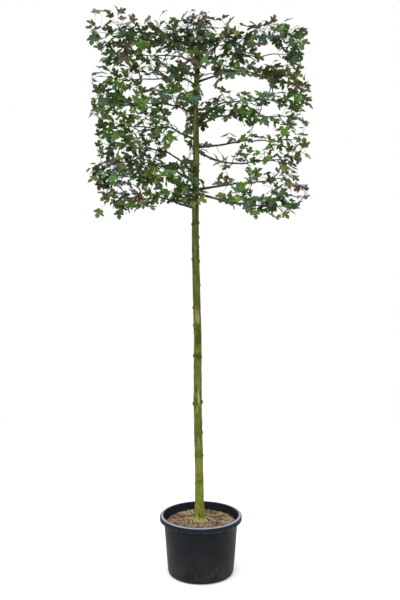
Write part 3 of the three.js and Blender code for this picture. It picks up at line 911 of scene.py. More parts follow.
# The boughs of each side from the lowest up: the height of the root on the trunk, two bends as
# distance out and height, and the height at which the limb ends
LIMB_PLANS: dict[Side, tuple[tuple[float, Range, Range, float], ...]] = {
    Side.LEFT: (
        (2296, (115, 2314), (215, 2347), 2354), (2384, (165, 2464), (250, 2490), 2461),
        (2441, (107, 2487), (215, 2538), 2562), (2474, (95, 2552), (215, 2622), 2674),
        (2696, (119, 2733), (196, 2768), 2792), (2839, (110, 2880), (196, 2903), 2912),
        (3005, (70, 3036), (127, 3052), 3050), (3128, (90, 3166), (154, 3184), 3190),
        (3239, (70, 3276), (124, 3296), 3316),
    ),
    Side.RIGHT: (
        (2380, (95, 2348), (188, 2324), 2312), (2401, (125, 2425), (214, 2437), 2459),
        (2635, (60, 2588), (179, 2560), 2596), (2653, (107, 2664), (220, 2682), 2700),
        (2768, (60, 2814), (137, 2834), 2816), (2800, (60, 2874), (160, 2918), 2932),
        (3030, (80, 3064), (171, 3086), 3080), (3141, (80, 3172), (150, 3188), 3190),
        (3244, (80, 3270), (150, 3284), 3296),
    ),
}


@dataclass
class Limb:
    """One trained limb: a bough from the trunk, carried on by the stem of its foliage."""

    side: Side
    order: int
    trunk: Trunk
    ends: dict[Side, float] = field(default_factory=lambda: {Side.LEFT: 628, Side.RIGHT: 602})
    bough_shares: dict[Side, float] = field(default_factory=lambda: {Side.LEFT: 0.36, Side.RIGHT: 0.46})
    seeds: tuple[int, int, int] = (500, 1000, 20)
    depth: float = 22
    near_depth: float = 0.6
    wander_up: float = 9
    wander_depth: float = 6
    root_radius: float = 8.5
    thinning: float = 0.3
    collar: float = 3
    collar_length: float = 0.035
    end_radius: float = 2.4
    taper: float = 0.8
    # The bends of the leafy stem, and their waves as size, pace and start
    stem_bend: float = 6.5
    stem_turns: float = 4.2
    stem_comes_in: float = 3
    stem_waves: Table = ((1, 2, 0), (0.6, 5.3, 1))
    stem_point: float = 0.6
    stem_point_power: int = 6
    # Bark over the solid, in shares of its radius: lumps, swellings at old buds and at the root
    lumps: Lumps = ((0.14, (26, 12, 12)), (0.07, (9, 4, 4)))
    buds: int = 14
    bud: Hump = Hump(0.16, 0.13)
    bark_collar: float = 0.45
    bark_collar_length: float = 0.05
    sides: int = 14
    courses: int = 90
    # The share of the limb at which its last leaf or shoot grows
    leafy_to: float = 0.0

    def __post_init__(self) -> None:
        """Works the limb's points out from its own random numbers, in the source's order."""
        sign = self.side.value
        draws = self.draws_for(Growth.LINE)
        self.face = -1 if self.order % 2 == 0 else 1
        plans = LIMB_PLANS[self.side]
        root, near, far, end = plans[self.order]

        def deep() -> float:
            """The next place in the depth, on the limb's own side of the flat."""
            return self.face * self.depth + draws.spread(self.wander_depth)

        start = self.trunk.middle(root)
        reach = self.ends[self.side]
        first = (sign * near[0], between(start[1], deep(), self.near_depth), near[1])
        second = (sign * far[0], deep(), far[1])
        third_depth = deep()
        rise = between(far[1], end, 0.5) + draws.spread(self.wander_up)
        third = (sign * between(far[0], reach, 0.5), third_depth, rise)
        last = (sign * reach, deep(), end)
        self.points = np.array([start, first, second, third, last], float)
        self.bough_share = self.bough_shares[self.side]
        self.leafy_to = self.bough_share
        self.base = self.root_radius * (1 - self.thinning * self.order / (len(plans) - 1))

    def draws_for(self, growth: Growth) -> SeededDraws:
        """The limb's own random numbers for one part of its growth."""
        first, side_step, limb_step = self.seeds
        seed = first + side_step * (self.side.value + 1) + limb_step * self.order
        return SeededDraws(seed + growth.value)

    def line(self, share: np.ndarray) -> np.ndarray:
        """The limb's middle at shares of its way, on a smooth curve through its points."""
        points = self.points
        before = 2 * points[0] - points[1]
        after = 2 * points[-1] - points[-2]
        padded = np.vstack([before, points, after])
        place = np.clip(share, 0, 1) * (len(points) - 1)
        index = np.minimum(place.astype(int), len(points) - 2)
        t = (place - index)[:, None]
        p0, p1, p2, p3 = (padded[index + i] for i in range(4))
        leave = 0.5 * (p2 - p0)
        arrive = 0.5 * (p3 - p1)
        square = t * t
        return (p1 + leave * t + (3 * (p2 - p1) - 2 * leave - arrive) * square
                + (2 * (p1 - p2) + leave + arrive) * square * t)

    def stem(self, share: np.ndarray) -> np.ndarray:
        """The limb's middle with the small bends of its leafy stem, which start past the bough."""
        grown = np.clip((share - self.bough_share) / (1 - self.bough_share), 0, 1)
        turns = self.stem_turns * grown + self.order
        bends = sum(size * np.sin(pace * turns + start) for size, pace, start in self.stem_waves)
        reach = self.stem_bend * np.minimum(1, self.stem_comes_in * grown)
        return self.line(share) + UP * (reach * bends)[:, None]

    def radius(self, share: np.ndarray | float) -> np.ndarray:
        """The limb's radius at shares of its way."""
        body = between(self.base, self.end_radius, np.asarray(share) ** self.taper)
        return body + self.collar * np.exp(-np.asarray(share) / self.collar_length)

    def bark(self, share: np.ndarray, angle: np.ndarray) -> np.ndarray:
        """The radius with the swellings at old buds and the bark's own unevenness."""
        reach = self.radius(share)
        uneven = bark_lumps(self.line(share), reach, angle, (1, 2), self.lumps)
        swelling = self.bud.at(np.abs(np.sin(share * math.pi * self.buds + self.order)))
        collar = self.bark_collar * np.exp(-share / self.bark_collar_length)
        return reach * (1 + uneven + swelling + collar)

    def stem_radius(self, share: np.ndarray) -> np.ndarray:
        """The leafy stem's radius at shares of what is grown of it."""
        whole = between(self.bough_share, self.leafy_to, share)
        point = 1 - self.stem_point * share ** self.stem_point_power
        return self.bark(whole, np.zeros(len(whole))) * point

    def build(self, finish: bpy.types.Material) -> None:
        """Makes the bough's bark, from the trunk to where its foliage starts."""
        name = f"{self.side.name.lower()}_{self.order + 1}"
        tube = BarkTube(
            part_of(self.line, 0, self.bough_share),
            lambda share, angle: self.bark(share * self.bough_share, angle), self.sides, self.courses,
        )
        join_piece(tube.build(f"bough_bark_{name}", finish), [f"bough_{name}"])


@dataclass
class Twig:
    """A twig that can carry leaves: its line, its length, its root's radius and its tint."""

    line: Line
    length: float
    root_radius: float
    tint: Tint
    taper: float = 0.5
    # The share up to which it carries leaves or twigs
    carried: float = 0.0
    # The share of its limb at which it grows
    rooted: float = 0.0
    # The longest bare stretch past which nothing more grows on it
    bare: float = 46
    # How likely its leaves are at the least, wherever it is, and their size
    leafy: float = 0.0
    leaf_size: float = 1.0

    def radius(self, share: np.ndarray | float) -> np.ndarray | float:
        """The radius at shares of the twig."""
        return self.root_radius * (1 - self.taper * share)

    def ends_before(self, share: float) -> bool:
        """Whether a share lies past a bare stretch that is too long."""
        return (share - self.carried) * self.length > self.bare

    def carry(self, share: float) -> None:
        """Notes that something grows at a share of the twig."""
        self.carried = max(self.carried, share)

    def at(self, share: float) -> np.ndarray:
        """The point at one share of the twig."""
        return point_on(self.line, share)

    def run(self, share: float) -> np.ndarray:
        """The direction at one share of the twig."""
        return unit(self.at(min(1, share + TWIG_STEP)) - self.at(max(0, share - TWIG_STEP)))

    def outward(self, share: float, turn: float) -> np.ndarray:
        """The direction out of the twig at one share, at a turn round it in radians."""
        run = self.run(share)
        first = unit(np.cross(steady(run), run))
        return first * math.cos(turn) + np.cross(run, first) * math.sin(turn)


@dataclass
class LeafShape:
    """A field maple leaf of five blunt lobes, one long from its stalk to its tip."""

    # Half the outline from the stalk round to the tip, as places along and aside
    half: Table = (
        (-0.06, 0.1), (-0.06, 0.3), (0.1, 0.22), (0.22, 0.42), (0.38, 0.64),
        (0.53, 0.5), (0.47, 0.16), (0.64, 0.27), (0.82, 0.22),
    )
    ribs: tuple[float, ...] = (0.0, 0.3, 0.62, 1.0)
    thickness: float = 0.01
    # Faces that point down more than this are the leaf's underside
    down: float = -0.5

    def build(self) -> SmallShape:
        """Makes the blade: half an outline filled, mirrored, and given its thickness."""
        bm = bmesh.new()
        rib = [bm.verts.new((along, 0, 0)) for along in self.ribs]
        edge = [bm.verts.new((along, aside, 0)) for along, aside in self.half]
        bm.faces.new([*rib, *reversed(edge)])
        bmesh.ops.triangulate(bm, faces=bm.faces, ngon_method="BEAUTY")
        whole = [*bm.verts, *bm.edges, *bm.faces]
        bmesh.ops.mirror(bm, geom=whole, axis="Y", merge_dist=LEAF_MERGE)
        bmesh.ops.remove_doubles(bm, verts=bm.verts, dist=LEAF_MERGE)
        bmesh.ops.recalc_face_normals(bm, faces=bm.faces)
        if sum(f.normal.z for f in bm.faces) < 0:
            bmesh.ops.reverse_faces(bm, faces=bm.faces)
        bmesh.ops.solidify(bm, geom=bm.faces[:], thickness=self.thickness)
        bmesh.ops.recalc_face_normals(bm, faces=bm.faces)
        for face in bm.faces:
            face.material_index = int(face.normal.z < self.down)
        return SmallShape.of(bm)


@dataclass
class Leaf:
    """One leaf: where its stalk leaves the twig, its blade's frame, size and bend."""

    foot: np.ndarray
    root: np.ndarray
    along: np.ndarray
    facing: np.ndarray
    size: float
    fold: float
    droop: float
    curl: float
    tint: Tint
    # Places on the flat leaf that stand for all of it, its middle second
    marks: Table = ((0.1, 0, 0), (0.5, 0, 0), (1, 0, 0), (0.42, 0.55, 0), (0.42, -0.55, 0))
    stalk_bow: float = 0.1
    stalk_radii: Range = (0.95, 0.7)

    def place(self, points: np.ndarray) -> np.ndarray:
        """Points of the flat leaf, bent and laid in place."""
        along, aside, lift = points.T
        wide = np.abs(aside)
        lift = lift + self.fold * wide - self.droop * along ** 2 - self.curl * wide ** 2
        across = np.cross(self.facing, self.along)
        shape = along[:, None] * self.along + aside[:, None] * across + lift[:, None] * self.facing
        return self.root + self.size * shape

    def samples(self) -> np.ndarray:
        """A few points of the blade, for tests of where it is."""
        return self.place(np.array(self.marks))

    def stalk(self) -> Line:
        """The stalk's line from the twig to the blade, bowed a little upwards."""
        way = self.root - self.foot
        return bowed(self.foot, way, UP * self.stalk_bow * np.linalg.norm(way))


@dataclass
class CrownSpace:
    """The space of the flat, nearly square crown: its limbs, its outline and its open places."""

    trunk: Trunk
    left: float = -688
    right: float = 664
    bottom: float = 2198
    top: float = 3464
    # The outline: its height across the top and the bottom, and how far it reaches out at each height
    outline_top: Table = (
        (-690, 3350), (-640, 3412), (-560, 3446), (-440, 3432), (-330, 3434), (-200, 3414), (-100, 3402),
        (-10, 3430), (60, 3396), (180, 3394), (290, 3404), (420, 3414), (520, 3410), (590, 3376), (660, 3322),
    )
    outline_bottom: Table = (
        (-690, 2420), (-600, 2352), (-545, 2300), (-500, 2252), (-370, 2250), (-330, 2284), (-160, 2300),
        (-60, 2286), (60, 2312), (140, 2310), (200, 2276), (300, 2252), (390, 2226), (500, 2232),
        (570, 2272), (640, 2340),
    )
    outline_left: Table = (
        (2250, -600), (2320, -576), (2369, -612), (2418, -656), (2515, -690), (2560, -684), (2600, -652),
        (2650, -636), (2711, -646), (2792, -650), (2840, -688), (2890, -696), (2940, -668), (3019, -642),
        (3100, -658), (3166, -632), (3230, -640), (3279, -652), (3340, -662), (3440, -640),
    )
    outline_right: Table = (
        (2280, 580), (2320, 612), (2385, 664), (2450, 622), (2499, 604), (2565, 612), (2613, 656),
        (2678, 630), (2727, 626), (2792, 626), (2840, 618), (2873, 666), (2938, 674), (3019, 660),
        (3100, 614), (3198, 598), (3246, 628), (3295, 642), (3344, 596), (3420, 580),
    )
    # Open places in the crown, as middle and half sizes
    openings: Table = (
        (-302, 3037, 56, 36), (42, 3036, 36, 46), (262, 3010, 150, 42), (402, 3186, 84, 52),
        (424, 2868, 54, 30), (-131, 2810, 44, 46), (84, 2752, 64, 64), (206, 2758, 54, 44),
        (363, 2756, 54, 40), (-143, 2640, 62, 60), (40, 2500, 38, 84), (209, 2500, 52, 36),
        (-437, 2420, 24, 14), (-198, 2420, 32, 16), (-694, 2690, 62, 150), (168, 2642, 80, 28),
        (350, 2400, 50, 36), (97, 2394, 55, 28), (345, 2671, 40, 26), (-197, 2584, 66, 24),
        (-80, 3011, 30, 26), (-415, 2965, 46, 16), (415, 2544, 44, 22), (64, 2976, 44, 30),
    )
    half_depth: float = 150
    beside_trunk: float = 30
    tuft_half: float = 98
    tuft_from: float = 3300
    tuft_top: float = 3475
    margin: float = 1.5
    shared_with: int = 2
    shoot_sky: float = 0.7
    # The part round the trunk's tip where leaves are small, dark and close together
    tuft_tint_from: float = 3286
    tuft_tint_half: float = 82

    def __post_init__(self) -> None:
        """Grows the limbs and notes the points of the wood that shoots keep clear of."""
        self.limbs = {
            side: [Limb(side, order, self.trunk) for order in range(len(plans))]
            for side, plans in LIMB_PLANS.items()
        }
        edges = ("top", "bottom", "left", "right")
        self.outline = {edge: np.array(getattr(self, f"outline_{edge}")).T for edge in edges}
        heights = np.linspace(self.bottom, self.trunk.tip, 130)
        points = [self.trunk.middle(heights)]
        reach = [self.trunk.radius(heights)]
        for limb in self.all_limbs():
            shares = np.linspace(0, limb.bough_share, 34)
            points.append(limb.line(shares))
            reach.append(limb.radius(shares))
        self.wood = np.vstack(points)
        self.wood_radius = np.concatenate(reach)

    def all_limbs(self) -> list[Limb]:
        """The limbs of both sides."""
        return [limb for limbs in self.limbs.values() for limb in limbs]

    def off_wood(self, point: np.ndarray) -> float:
        """How far a point is from the bark of the trunk and the boughs."""
        return (np.linalg.norm(self.wood - point, axis=1) - self.wood_radius).min()

    def boundary(self, limb: Limb, step: int, out: float) -> float:
        """The height at which a limb's foliage ends."""
        order = limb.order + step
        limbs = self.limbs[limb.side]
        if not 0 <= order < len(limbs):
            return self.bottom if step < 0 else self.top
        sign = limb.side.value
        pair = (limb, limbs[order])
        return sum(np.interp(out, sign * each.points[:, 0], each.points[:, 2]) for each in pair) / 2

    def in_mass(self, limb: Limb, point: np.ndarray) -> bool:
        """Whether a point lies in the space of one limb's foliage."""
        x, y, z = point
        sign = limb.side.value
        low = self.boundary(limb, -self.shared_with, sign * x) + self.margin
        high = self.boundary(limb, self.shared_with, sign * x) - self.margin
        clear = self.tuft_half if z > self.tuft_from else self.beside_trunk
        return (low < z < high and sign * self.trunk.beside(point) > clear
                and self.margin < limb.face * y < self.half_depth and self.left < x < self.right)

    def may_grow(self, limb: Limb, point: np.ndarray) -> bool:
        """Whether a shoot of one limb may pass through a point."""
        return self.in_mass(limb, point) and not self.open_sky(point[None], self.shoot_sky)

    def in_tuft(self, point: np.ndarray) -> bool:
        """Whether a point lies in the space of the tuft on the trunk's tip."""
        return (self.tuft_from + self.margin < point[2] < self.tuft_top
                and abs(self.trunk.beside(point)) < self.tuft_half - self.margin
                and abs(point[1]) < self.tuft_half)

    def in_tuft_tint(self, point: np.ndarray) -> bool:
        """Whether a point lies among the small dark leaves round the trunk's tip."""
        return point[2] > self.tuft_tint_from and abs(self.trunk.beside(point)) < self.tuft_tint_half

    def open_sky(self, points: np.ndarray, share: float) -> bool:
        """Whether any of the points lies in an open place, taken at a share of its size."""
        for x, z, wide, high in self.openings:
            away = np.hypot((points[:, 0] - x) / wide, (points[:, 2] - z) / high)
            if (away < share).any():
                return True
        return False

    def in_crown(self, points: np.ndarray) -> bool:
        """Whether all points lie within the reach of the crown, and none in the trunk."""
        x, y, z = points.T
        centre = self.trunk.middle(z)
        clear = np.hypot(x - centre[:, 0], y - centre[:, 1]) > self.trunk.radius(z) + 2
        top = np.where(np.abs(x - centre[:, 0]) < self.tuft_half, self.tuft_top, self.top)
        within = (x > self.left) & (x < self.right) & (np.abs(y) < self.half_depth)
        return bool((clear & within & (z > self.bottom) & (z < top)).all())

    def inside_by(self, x: float, z: float) -> dict[str, float]:
        """How far a place lies inside each edge of the outline."""
        top, bottom = (np.interp(x, *self.outline[edge]) for edge in ("top", "bottom"))
        left, right = (np.interp(z, *self.outline[edge]) for edge in ("left", "right"))
        return {"top": top - z, "bottom": z - bottom, "left": x - left, "right": right - x}


@dataclass(frozen=True)
class ShootRule:
    """The source's rule for the side shoots on a limb's stem."""

    spacing: float = 96
    length: float = 125
    spread: float = 0.35
    shortest: float = 34
    radius: float = 3.0
    rise: float = 0.1
    clearance: float = 6
    steps: int = 12
    # How many shoots turn back over the bough, and their distance along the stem
    backward: int = 2
    back_step: float = 0.06
    slot: Range = (0.25, 0.75)
    # The ways out: along the limb when turned back or not, out of the flat, and up or down
    back_lean: Range = (-1.1, -1.5)
    lean: Range = (0.25, 1)
    swing: Range = (-0.15, 0.55)
    back_upward: float = 0.8
    upward: float = 0.95

    def way(self, limb: Limb, number: int, swing: float, lean: float) -> np.ndarray:
        """The direction of a shoot."""
        back = number < self.backward
        upward = self.back_upward if back else self.upward
        return unit(np.array([
            limb.side.value * between(*(self.back_lean if back else self.lean), lean),
            limb.face * between(*self.swing, swing),
            upward if number % 2 == 0 else -upward,
        ]))

    def starts(self, limb: Limb, number: int, count: int, place: float) -> float:
        """The share of the limb at which a shoot starts."""
        share = (number - self.backward + between(*self.slot, place)) / (count - self.backward)
        if number < self.backward:
            share = self.back_step * (number + 1)
        return between(limb.bough_share, 1, share)


@dataclass(frozen=True)
class TwigHabit:
    """How fine twigs stand on the shoots and stems that carry them."""

    chance: float = 0.5
    lengths: Range = (36, 80)
    # The ways out: along the carrier, up, and the share of the depth that is kept
    ahead: Range = (0.5, 1.1)
    upward: Range = (-0.1, 0.35)
    flat: float = 0.8
    sag: Range = (-0.16, 0.12)
    # The share of an open place's size that they keep out of, and where they are tested for it
    sky: float = 0.85
    tested: Range = (0.3, 1)
    thickest: float = 1.7
    thinner: float = 0.8
    taper: float = 0.45
    node: float = 21
    fewest_leaves: int = 2


@dataclass(frozen=True)
class LeafHabit:
    """How leaves stand on their twigs."""

    tries: int = 3
    apart: float = 21
    lengths: Range = (33, 66)
    tuft_size: float = 0.78
    try_turn: float = 0.9
    stray: float = 0.4
    # The ways of the stalk
    ahead: Range = (0.25, 0.9)
    tip_ahead: Range = (1.2, 2)
    upward: Range = (-0.1, 0.3)
    flat: float = 0.75
    stalk: Range = (0.35, 0.75)
    # How the blade hangs from its stalk, and which way it faces: out, aside and up
    hang: Range = (-0.9, 0)
    side_stray: float = 60
    facing_aside: float = 0.6
    facing_out: Range = (0, 0.75)
    facing_up: Range = (0.4, 1)
    fold: Range = (0, 0.45)
    droop: Range = (0, 0.4)
    curl: Range = (0, 0.5)
    sky: Range = (0.65, 1.15)

    def leaf(self, carrier: Twig, share: float, turn: float, scale: float, ahead: Range,
             draws: SeededDraws) -> Leaf:
        """A leaf at a place on its twig.

        Args:
            carrier: The twig that it grows from.
            share: The share of the twig at which it grows.
            turn: The turn round the twig, in radians.
            scale: Its size against other leaves.
            ahead: How far its stalk leads on along the twig.
            draws: The random numbers of the mass.

        Returns:
            The leaf.
        """
        foot = carrier.at(share)
        outward = carrier.outward(share, turn + draws.spread(self.stray))
        stalk = carrier.run(share) * draws.within(*ahead) + outward
        stalk[1] *= self.flat
        stalk = unit(stalk + UP * draws.within(*self.upward))
        size = scale * draws.within(*self.lengths)
        root = foot + stalk * size * draws.within(*self.stalk)
        along = unit(stalk + UP * draws.within(*self.hang))
        side = -1 if root[1] + draws.spread(self.side_stray) < 0 else 1
        aside = draws.spread(self.facing_aside)
        facing = np.array([aside, side * draws.within(*self.facing_out), draws.within(*self.facing_up)])
        facing = unit(facing - along * facing.dot(along))
        bends = [draws.within(*bend) for bend in (self.fold, self.droop, self.curl)]
        return Leaf(foot, root, along, facing, size, *bends, carrier.tint)


@dataclass
class Crown:
    """The twigs and leaves that grow in the crown's space."""

    space: CrownSpace
    rule: ShootRule = ShootRule()
    twig_habit: TwigHabit = TwigHabit()
    leaf_habit: LeafHabit = LeafHabit()
    shoot_node: float = 28
    stem_node: float = 34
    short_node: float = 24
    tuft_stem_node: float = 20
    tuft_node: float = 22
    first_node: float = 20
    last_node: float = 0.97
    stem_parts: int = 4
    # How full the crown is at each limb from the lowest up, and how far above it, or below nothing
    # under it, the leaves gather
    tiers: dict[Side, Table] = field(default_factory=lambda: {
        Side.LEFT: ((1.9, -4), (1.2, -20), (1.5, -45), (0.8, -35), (1.1, -20), (1.2, 15), (1.1, -60),
                    (1.0, -60), (2.0, -25)),
        Side.RIGHT: ((1.6, 20), (0.7, 0), (0.7, 10), (0.7, 0), (0.8, 0), (1.2, 0), (1.2, 20),
                     (0.9, -20), (1.6, -10)),
    })
    tier_reach: float = 48
    between_tiers: float = 0.2
    ragged_sides: float = 64
    ragged_ends: float = 50
    spot_share: float = 0.5
    edge_band: float = 60
    tuft_full: float = 2.2
    tuft_thins_out: float = 3434
    tuft_ragged: float = 70
    tuft_height: float = 76
    tuft_shoots: int = 6
    tuft_turn: float = 2.4
    tuft_seed: int = 79
    # Short shoots on the trunk between the top limbs
    trunk_shoots: int = 14
    trunk_shoots_from: float = 3070
    # Short shoots on each bough
    bough_shoots: dict[Side, int] = field(default_factory=lambda: {Side.LEFT: 4, Side.RIGHT: 1})
    short_radius: float = 2.2
    loose_radius: float = 0.9
    stalk_light: Colour = srgb(128, 110, 62)
    stalk_dark: Colour = srgb(104, 70, 50)

    def __post_init__(self) -> None:
        """Starts with no twigs and no leaves."""
        self.trunk = self.space.trunk
        self.tier_paths = {
            side: [(np.abs(limb.points[:, 0]), limb.points[:, 2]) for limb in limbs]
            for side, limbs in self.space.limbs.items()
        }
        self.twigs: list[Twig] = []
        self.leaves: list[Leaf] = []
        self.leaf_middles = np.zeros((0, 3))

    def tint_for(self, point: np.ndarray, draws: SeededDraws) -> Tint:
        """Deals a tint to a spray by where it is."""
        x, _y, z = point
        for spot_x, spot_z, reach, tint in TINT_SPOTS:
            if math.hypot(x - spot_x, z - spot_z) < reach and draws.draw() < self.spot_share:
                return tint
        inside = self.space.inside_by(x, z)
        kind = "left" if self.trunk.beside(point) < 0 else "right"
        if min(inside["left"], inside["right"], inside["top"]) < self.edge_band:
            kind = "edge"
        if self.space.in_tuft_tint(point):
            kind = "tuft"
        shares = [getattr(plan, kind) for plan in TINTS.values()]
        pick = draws.draw() * sum(shares)
        for tint, share in zip(TINTS, shares):
            pick -= share
            if pick < 0:
                return tint
        return Tint.MID

    def full_at(self, point: np.ndarray) -> float:
        """How likely a leaf is at a place: more at the tiers, less towards the crown's edge."""
        x, _y, z = point
        if self.space.in_tuft_tint(point):
            return self.tuft_full * held((self.tuft_thins_out - z) / self.tuft_ragged)
        side = Side.LEFT if self.trunk.beside(point) < 0 else Side.RIGHT
        gap, full = min(
            (abs(z - lift - np.interp(abs(x), *path)), full)
            for path, (full, lift) in zip(self.tier_paths[side], self.tiers[side])
        )
        tier = between(self.between_tiers, 1, math.exp(-((gap / self.tier_reach) ** 2)))
        inside = self.space.inside_by(x, z)
        sides = min(inside["left"], inside["right"]) / self.ragged_sides
        ends = min(inside["top"], inside["bottom"]) / self.ragged_ends
        return full * tier * held(min(sides, ends))

    def shoots_of(self, limb: Limb) -> list[Twig]:
        """The side shoots of one limb's stem, by the source's rule, each with its tint."""
        rule = self.rule
        draws = limb.draws_for(Growth.SHOOTS)
        colours = limb.draws_for(Growth.TINTS)
        path = limb.line(np.linspace(limb.bough_share, 1, rule.steps + 1))
        length = float(np.linalg.norm(np.diff(path, axis=0), axis=1).sum())
        back_length = limb.side.value * self.trunk.beside(path[0]) - self.space.beside_trunk
        count = int(length / rule.spacing + 0.5) + rule.backward
        made = []
        for i in range(count):
            place, swing, lean, size = (draws.draw() for _ in range(4))
            reach = rule.length * (1 + rule.spread * (2 * size - 1))
            rooted = rule.starts(limb, i, count, place)
            shoot = self.shoot(
                point_on(limb.line, rooted), rule.way(limb, i, swing, lean),
                back_length if i < rule.backward else reach, lambda p: self.space.may_grow(limb, p),
            )
            if shoot:
                shoot.rooted = rooted
                shoot.tint = self.tint_for(shoot.at(1), colours)
                made.append(shoot)
        return made

    def shoot(self, root: np.ndarray, direction: np.ndarray, length: float,
              holds: Callable[[np.ndarray], bool]) -> Twig | None:
        """A shoot, kept to the share of it that stays in its space and clear of the limbs."""
        rule = self.rule
        whole = rising(root, direction, length, rule.rise)
        kept = 1.0
        for i in range(1, rule.steps + 1):
            point = point_on(whole, i / rule.steps)
            if self.space.off_wood(point) < rule.clearance or not holds(point):
                kept = (i - 1) / rule.steps
                break
        if kept * length < rule.shortest:
            return None
        return Twig(part_of(whole, 0, kept), kept * length, rule.radius, Tint.MID)

    def side_twig(self, carrier: Twig, share: float, turn: float, draws: SeededDraws) -> Twig | None:
        """A fine twig from a node of its carrier."""
        habit = self.twig_habit
        direction = carrier.run(share) * draws.within(*habit.ahead) + carrier.outward(share, turn)
        direction[1] *= habit.flat
        direction = unit(direction + UP * draws.within(*habit.upward))
        length = draws.within(*habit.lengths)
        line = rising(carrier.at(share), direction, length, draws.within(*habit.sag))
        path = line(np.linspace(*habit.tested, 4))
        if not self.space.in_crown(path) or self.space.open_sky(path, habit.sky):
            return None
        radius = min(habit.thickest, habit.thinner * float(carrier.radius(share)))
        return Twig(line, length, radius, carrier.tint, habit.taper)

    def try_leaf(self, carrier: Twig, share: float, turn: float, draws: SeededDraws,
                 terminal: bool = False) -> None:
        """Adds a leaf at a node if one of a few tries has room.

        Args:
            carrier: The twig that it grows from.
            share: The share of the twig at which it grows.
            turn: The turn round the twig, in radians.
            draws: The random numbers of the mass.
            terminal: Whether the leaf carries the twig on at its tip.
        """
        habit = self.leaf_habit
        ahead = habit.tip_ahead if terminal else habit.ahead
        scale = carrier.leaf_size * (habit.tuft_size if self.space.in_tuft_tint(carrier.at(share)) else 1)
        for attempt in range(habit.tries):
            leaf = habit.leaf(carrier, share, turn + attempt * habit.try_turn, scale, ahead, draws)
            samples = leaf.samples()
            middle = samples[1]
            full = max(carrier.leafy, self.full_at(middle))
            sky = draws.within(*habit.sky)
            apart = habit.apart / math.sqrt(max(1, full))
            if draws.draw() < full and self.has_room(samples, middle, sky, apart):
                carrier.carry(share)
                self.leaves.append(leaf)
                self.leaf_middles = np.vstack([self.leaf_middles, middle])
                return

    def has_room(self, samples: np.ndarray, middle: np.ndarray, sky: float, apart: float) -> bool:
        """Whether a leaf is in the crown, out of the open places and apart from the others.

        The crown is flat, so leaves keep apart as they are seen from its front or back.
        """
        if not self.space.in_crown(samples) or self.space.open_sky(samples, sky):
            return False
        aside, _deep, above = (self.leaf_middles - middle).T
        return not len(aside) or np.hypot(aside, above).min() > apart

    def grow_side_twig(self, carrier: Twig, share: float, turn: float, draws: SeededDraws) -> bool:
        """Grows a fine twig with its leaves, and takes it out again where too few have room."""
        twig = self.side_twig(carrier, share, turn, draws)
        if not twig:
            return False
        twig.tint = self.tint_for(twig.at(1), draws)
        before = len(self.leaves)
        self.clothe(twig, self.twig_habit.node, draws, False)
        if len(self.leaves) < before + self.twig_habit.fewest_leaves:
            del self.leaves[before:]
            self.leaf_middles = self.leaf_middles[:before]
        else:
            self.twigs.append(twig)
            carrier.carry(share)
        return True

    def clothe(self, carrier: Twig, step: float, draws: SeededDraws, branching: bool = True) -> None:
        """Sets leaves, and on thicker twigs finer twigs, in opposite pairs along a carrier."""
        nodes = max(1, int((carrier.length - self.first_node) / step) + 1)
        for node in range(nodes):
            share = min(self.last_node, (self.first_node + node * step) / carrier.length)
            if carrier.ends_before(share):
                return
            for opposite in (0, math.pi):
                turn = node * math.pi / 2 + opposite + draws.spread(0.3)
                branches = branching and draws.draw() < self.twig_habit.chance
                if not branches or not self.grow_side_twig(carrier, share, turn, draws):
                    self.try_leaf(carrier, share, turn, draws)
        if carrier.ends_before(1):
            return
        for opposite in (0, math.pi):
            self.try_leaf(carrier, 1, opposite + draws.spread(0.6), draws, True)

    def keep(self, twig: Twig) -> bool:
        """Keeps a twig if anything grows on it, and says whether it does."""
        if twig.carried:
            self.twigs.append(twig)
        return bool(twig.carried)

    def grow(self) -> None:
        """Grows every mass of foliage, limb by limb, then the tuft and the single shoots."""
        for limb in self.space.all_limbs():
            draws = limb.draws_for(Growth.LEAVES)
            for shoot in self.shoots_of(limb):
                self.clothe(shoot, self.shoot_node, draws)
                if self.keep(shoot):
                    limb.leafy_to = max(limb.leafy_to, shoot.rooted)
            for part in range(self.stem_parts):
                stem = self.stem_part(limb, part, draws)
                self.clothe(stem, self.stem_node, draws)
                if stem.carried:
                    last = between(limb.bough_share, 1, (part + stem.carried) / self.stem_parts)
                    limb.leafy_to = max(limb.leafy_to, last)
            self.grow_bough_shoots(limb, draws)
        self.grow_tuft()
        self.grow_trunk_shoots()
        self.grow_loose_tips()
        log.info("%d twigs and %d leaves", len(self.twigs), len(self.leaves))

    def stem_part(self, limb: Limb, part: int, draws: SeededDraws) -> Twig:
        """One part of a limb's stem, with its own tint, to set leaves on."""
        low, high = (between(limb.bough_share, 1, (part + end) / self.stem_parts) for end in (0, 1))
        line = part_of(limb.stem, low, high)
        length = float(np.linalg.norm(point_on(line, 1.0) - point_on(line, 0.0)))
        tint = self.tint_for(point_on(line, 0.5), draws)
        return Twig(line, length, float(limb.radius(high)), tint, bare=math.inf)

    def grow_tuft(self) -> None:
        """Grows the tuft on the trunk's tip."""
        draws = SeededDraws(self.tuft_seed)
        line = bowed(self.trunk.middle(self.trunk.tip), UP * self.tuft_height)
        stem = Twig(line, self.tuft_height, self.trunk.tip_radius, Tint.PURPLE, 0.6, carried=1.0)
        self.keep(stem)
        self.clothe(stem, self.tuft_stem_node, draws)
        for i in range(self.tuft_shoots):
            root = stem.at((i + 0.3) / self.tuft_shoots)
            direction = unit(heading(i * self.tuft_turn, 0.7))
            shoot = self.shoot(root, direction, 84, self.space.in_tuft)
            if shoot:
                shoot.tint = self.tint_for(root, draws)
                self.clothe(shoot, self.tuft_node, draws)
                self.keep(shoot)

